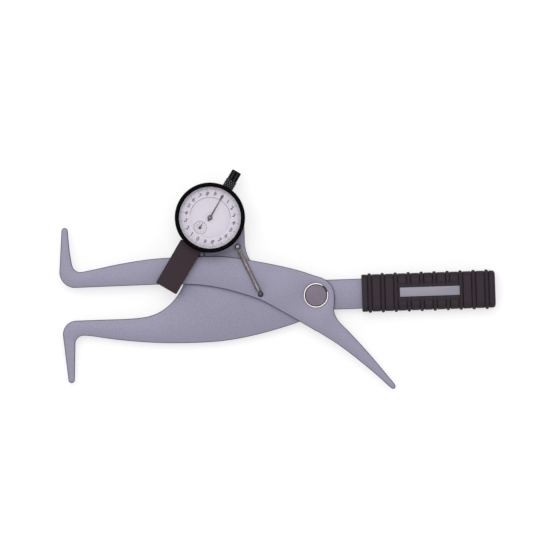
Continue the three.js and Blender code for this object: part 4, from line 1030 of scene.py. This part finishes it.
rows = round((COLLAR_HIGH - COLLAR_LOW) / COLLAR_STEP)
collar = [(STEM_INNER, 22.8), (STEM_OUTER, 22.8), (STEM_OUTER, 25.9), (4.25, 25.9)]
collar += [(COLLAR_RADIUS, COLLAR_LOW + COLLAR_STEP * i) for i in range(rows + 1)]
collar += [(4.3, 34.5), (3.4, 34.5), (3.4, 32.2), (STEM_INNER, 32.2)]
knurled = lathe("cap_collar_ridged", collar, 240, 0, True, crossed_knurl, ALONG)
# The knurl's crests take a lighter finish, a painted highlight.
dress(crested(knurled, ALONG, COLLAR_CREST), "frame", "cap_black", "cap_collar", rim="collar_crest_painted_highlight")

cap = [(0, 41.6), (2.6, 41.6), (2.6, 32.5), (3.1, 32.5), (3.1, 34.6), (4, 34.6), (CAP_RADIUS, 34.75),
       (CAP_RADIUS, 38), (CAP_RADIUS, 42.15), (3.85, 42.6), (3.4, 42.8), (0, 42.8)]
fluted = lathe("dust_cap_fluted", cap, 200, 0, False, cap_flutes, ALONG)
# The flutes' ridges take a lighter finish, a painted highlight.
dress(crested(fluted, ALONG, CAP_CREST), "frame", "cap_black", "dust_cap", rim="cap_ridge_painted_highlight")

stem = [(STEM_INNER, -34), (STEM_OUTER, -34), (STEM_OUTER, -22.8), (STEM_FLANGE, -22.8),
        (STEM_FLANGE, -21.6), (STEM_INNER, -21.6)]
dress(lathe("stem_turned", stem, 96, 0.25, True, place=ALONG), "frame", "bright_steel", "stem")
dress(box("foot", FOOT_LOW, FOOT_HIGH, FOOT_EDGE, DIAL), "plunger", "bright_steel", "contact_anvil")


# ---------------------------------------------------------------- spindle cover

COVER_LEFT, COVER_RIGHT, COVER_LOW, COVER_HIGH = -11.5, 7.1, -66.47, -26.3
COVER_CORNER, COVER_EDGE, COVER_WALL, ROOT_LOW, ROOT_IN = 0.9, 0.5, 1.1, -31.35, 1.3


def cover_solid():
    """A hood over the spindle's foot, open behind, whose root stands on the tower."""
    back, front = top("lever_plate") + 1.0, top("spindle_cover")
    outline = [(COVER_LEFT, COVER_LOW), (COVER_RIGHT, COVER_LOW), (COVER_RIGHT, COVER_HIGH),
               (COVER_LEFT, COVER_HIGH)]
    loop = [tuple(p) for p in eased(outline, COVER_CORNER, True, 4)]
    hood = slab("spindle_cover_moulded", [loop], back, front, COVER_EDGE, 4)
    root = box("root", (COVER_LEFT + ROOT_IN, ROOT_LOW, 7),
               (COVER_RIGHT - ROOT_IN, COVER_HIGH - 0.5, front - 0.6))
    hollow = box("hollow", (COVER_LEFT + COVER_WALL, COVER_LOW + COVER_WALL, back - 2),
                 (COVER_RIGHT - COVER_WALL, -31.4, front - COVER_WALL), 0.3)
    bore = lathe("bore", [(0, -40), (STEM_BORE, -40), (STEM_BORE, -20), (0, -20)], 48,
                 place=DIAL.inverted() @ ALONG)
    carved(hood, root, operation="UNION")
    carved(hood, hollow, bore)
    hood.data.transform(DIAL)
    return hood


dress(cover_solid(), "frame", "cover_plastic", "spindle_cover")


# ---------------------------------------------------------------- screws

HEAD_TOP, SHANK_RADIUS, SLOT_REACH, SLOT_HALF, SLOT_DEEP = 3, 1.3, 4, 0.4, 0.8


def slotted(node):
    """A cheese-head screw seen from behind, with its slot."""
    back, front = bottom(node), top(node)
    at = middle(node) / MM
    head = at.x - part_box(node)[0].x / MM
    profile = [(0, back), (head, back), (head, HEAD_TOP), (SHANK_RADIUS, HEAD_TOP), (SHANK_RADIUS, front),
               (0, front)]
    kind, number = node.rsplit("_", 1)
    body = lathe(f"{kind}_head_{number}", profile, 48, 0.2, place=spot(node))
    slot = box("slot", (at.x - SLOT_REACH, at.y - SLOT_HALF, back - 1),
               (at.x + SLOT_REACH, at.y + SLOT_HALF, back + SLOT_DEEP))
    return dress(carved(body, slot), "frame", "screw_steel", node)


for node_name in ("dial_screw_1", "dial_screw_2", "dial_screw_3", "cover_screw_1", "cover_screw_2"):
    slotted(node_name)


# ---------------------------------------------------------------- solids that stay

SMOOTH_BELOW = 38
KEPT = {
    "back_steel": ["case_back"],
    "bright_steel": ["spindle", "guide_pin", "rack_pinion", "centre_pinion",
                     "pillar_screw_1", "pillar_screw_2", "pillar_screw_3"],
    "brass": ["return_spring_post", "rack_wheel", "counter_wheel", "rear_movement_plate",
              "front_movement_plate", "rear_pillar_1", "rear_pillar_2", "rear_pillar_3", "front_pillar_1",
              "front_pillar_2", "front_pillar_3", "hairspring_stud"],
    "blue_steel": ["hairspring"],
}


def even_shading():
    """A modifier's node tree that joins split corners and shades curved faces smooth."""
    tree = bpy.data.node_groups.new("even_shading", "GeometryNodeTree")
    tree.interface.new_socket("Geometry", in_out="INPUT", socket_type="NodeSocketGeometry")
    tree.interface.new_socket("Geometry", in_out="OUTPUT", socket_type="NodeSocketGeometry")
    nodes, links = tree.nodes, tree.links
    start, end = nodes.new("NodeGroupInput"), nodes.new("NodeGroupOutput")
    weld = nodes.new("GeometryNodeMergeByDistance")
    weld.inputs["Distance"].default_value = WELD
    faces, edges = nodes.new("GeometryNodeSetShadeSmooth"), nodes.new("GeometryNodeSetShadeSmooth")
    edges.domain = "EDGE"
    edges.inputs["Shade Smooth"].default_value = False
    angle = nodes.new("GeometryNodeInputMeshEdgeAngle")
    steep = nodes.new("FunctionNodeCompare")
    steep.inputs["B"].default_value = math.radians(SMOOTH_BELOW)
    links.new(start.outputs[0], weld.inputs["Geometry"])
    links.new(weld.outputs["Geometry"], faces.inputs["Geometry"])
    links.new(faces.outputs["Geometry"], edges.inputs["Geometry"])
    links.new(angle.outputs["Unsigned Angle"], steep.inputs["A"])
    links.new(steep.outputs["Result"], edges.inputs["Selection"])
    links.new(edges.outputs["Geometry"], end.inputs[0])
    return tree


shading = even_shading()
for slot_name, names in KEPT.items():
    for node_name in names:
        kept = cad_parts[node_name]
        kept.data.materials.clear()
        kept.data.materials.append(FINISH[slot_name])
        kept.modifiers.new("even", "NODES").node_group = shading


# ---------------------------------------------------------------- floor, lamp and camera

FLOOR_HALF, FLOOR_GAP, FLOOR_GREY, FLOOR_GLOW = 20, 0.05, 0.5, 0.57
SKY_LEVEL, SKY_SHOWN = 0.6, 0.4
LAMP_PLACE, LAMP_SIZE, LAMP_POWER, LAMP_AIM = (-0.35, 0.7, 3.1), 2.2, 47, (-0.03, 0.01, 0.01)
VIEW_WIDTH, LENS, SENSOR = 0.448, 300, 36
VIEW_MIDDLE, VIEW_LEVEL = mm(-28.8, 12.3), 0.01


def shown_level(tree, base, added):
    """A strength that grows for what the camera sees, straight, in metal or through glass."""
    nodes, links = tree.nodes, tree.links
    ray = nodes.new("ShaderNodeLightPath")
    seen, also, level = (nodes.new("ShaderNodeMath") for _ in range(3))
    seen.operation, also.operation, level.operation = "MAXIMUM", "MAXIMUM", "MULTIPLY_ADD"
    links.new(ray.outputs["Is Camera Ray"], seen.inputs[0])
    links.new(ray.outputs["Is Glossy Ray"], seen.inputs[1])
    links.new(seen.outputs[0], also.inputs[0])
    links.new(ray.outputs["Is Transmission Ray"], also.inputs[1])
    links.new(also.outputs[0], level.inputs[0])
    level.inputs[1].default_value, level.inputs[2].default_value = added, base
    return level.outputs[0]


def floor_finish():
    """A white floor that keeps shadows and shows white to the camera, to metal and through glass."""
    material = bpy.data.materials.new("floor_white")
    material.use_nodes = True
    tree = material.node_tree
    tree.nodes.clear()
    plain = add(tree, "BsdfDiffuse", Color=(FLOOR_GREY, FLOOR_GREY, FLOOR_GREY, 1))
    glow = add(tree, "Emission", Color=(1, 1, 1, 1))
    both, out = add(tree, "AddShader"), add(tree, "OutputMaterial")
    tree.links.new(shown_level(tree, 0, FLOOR_GLOW), glow.inputs["Strength"])
    tree.links.new(plain.outputs[0], both.inputs[0])
    tree.links.new(glow.outputs[0], both.inputs[1])
    tree.links.new(both.outputs[0], out.inputs["Surface"])
    return material


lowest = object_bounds()[0].z
corners = [(x * FLOOR_HALF, y * FLOOR_HALF, 0) for x, y in ((-1, -1), (1, -1), (1, 1), (-1, 1))]
floor_mesh = bpy.data.meshes.new("floor")
floor_mesh.from_pydata(corners, [], [(0, 1, 2, 3)])
floor_mesh.materials.append(floor_finish())
floor = bpy.data.objects.new("floor", floor_mesh)
scene.collection.objects.link(floor)
floor.location.z = lowest - FLOOR_GAP * MM

world = bpy.data.worlds.new("studio")
scene.world = world
world.use_nodes = True
background = world.node_tree.nodes["Background"]
background.inputs["Color"].default_value = (1, 1, 1, 1)
world.node_tree.links.new(shown_level(world.node_tree, SKY_LEVEL, SKY_SHOWN), background.inputs["Strength"])

light = bpy.data.lights.new("key", "AREA")
light.shape, light.size, light.energy = "SQUARE", LAMP_SIZE, LAMP_POWER
key = bpy.data.objects.new("key", light)
scene.collection.objects.link(key)
key.location = LAMP_PLACE
key.rotation_euler = (Vector(LAMP_AIM) - Vector(LAMP_PLACE)).to_track_quat("-Z", "Y").to_euler()

camera_data = bpy.data.cameras.new("camera")
camera_data.sensor_width, camera_data.lens, camera_data.clip_end = SENSOR, LENS, 100
camera = bpy.data.objects.new("camera", camera_data)
scene.collection.objects.link(camera)
camera.location = (VIEW_MIDDLE.x, VIEW_MIDDLE.y, VIEW_WIDTH * LENS / SENSOR + VIEW_LEVEL)
scene.camera = camera
scene.view_settings.view_transform = "Standard"
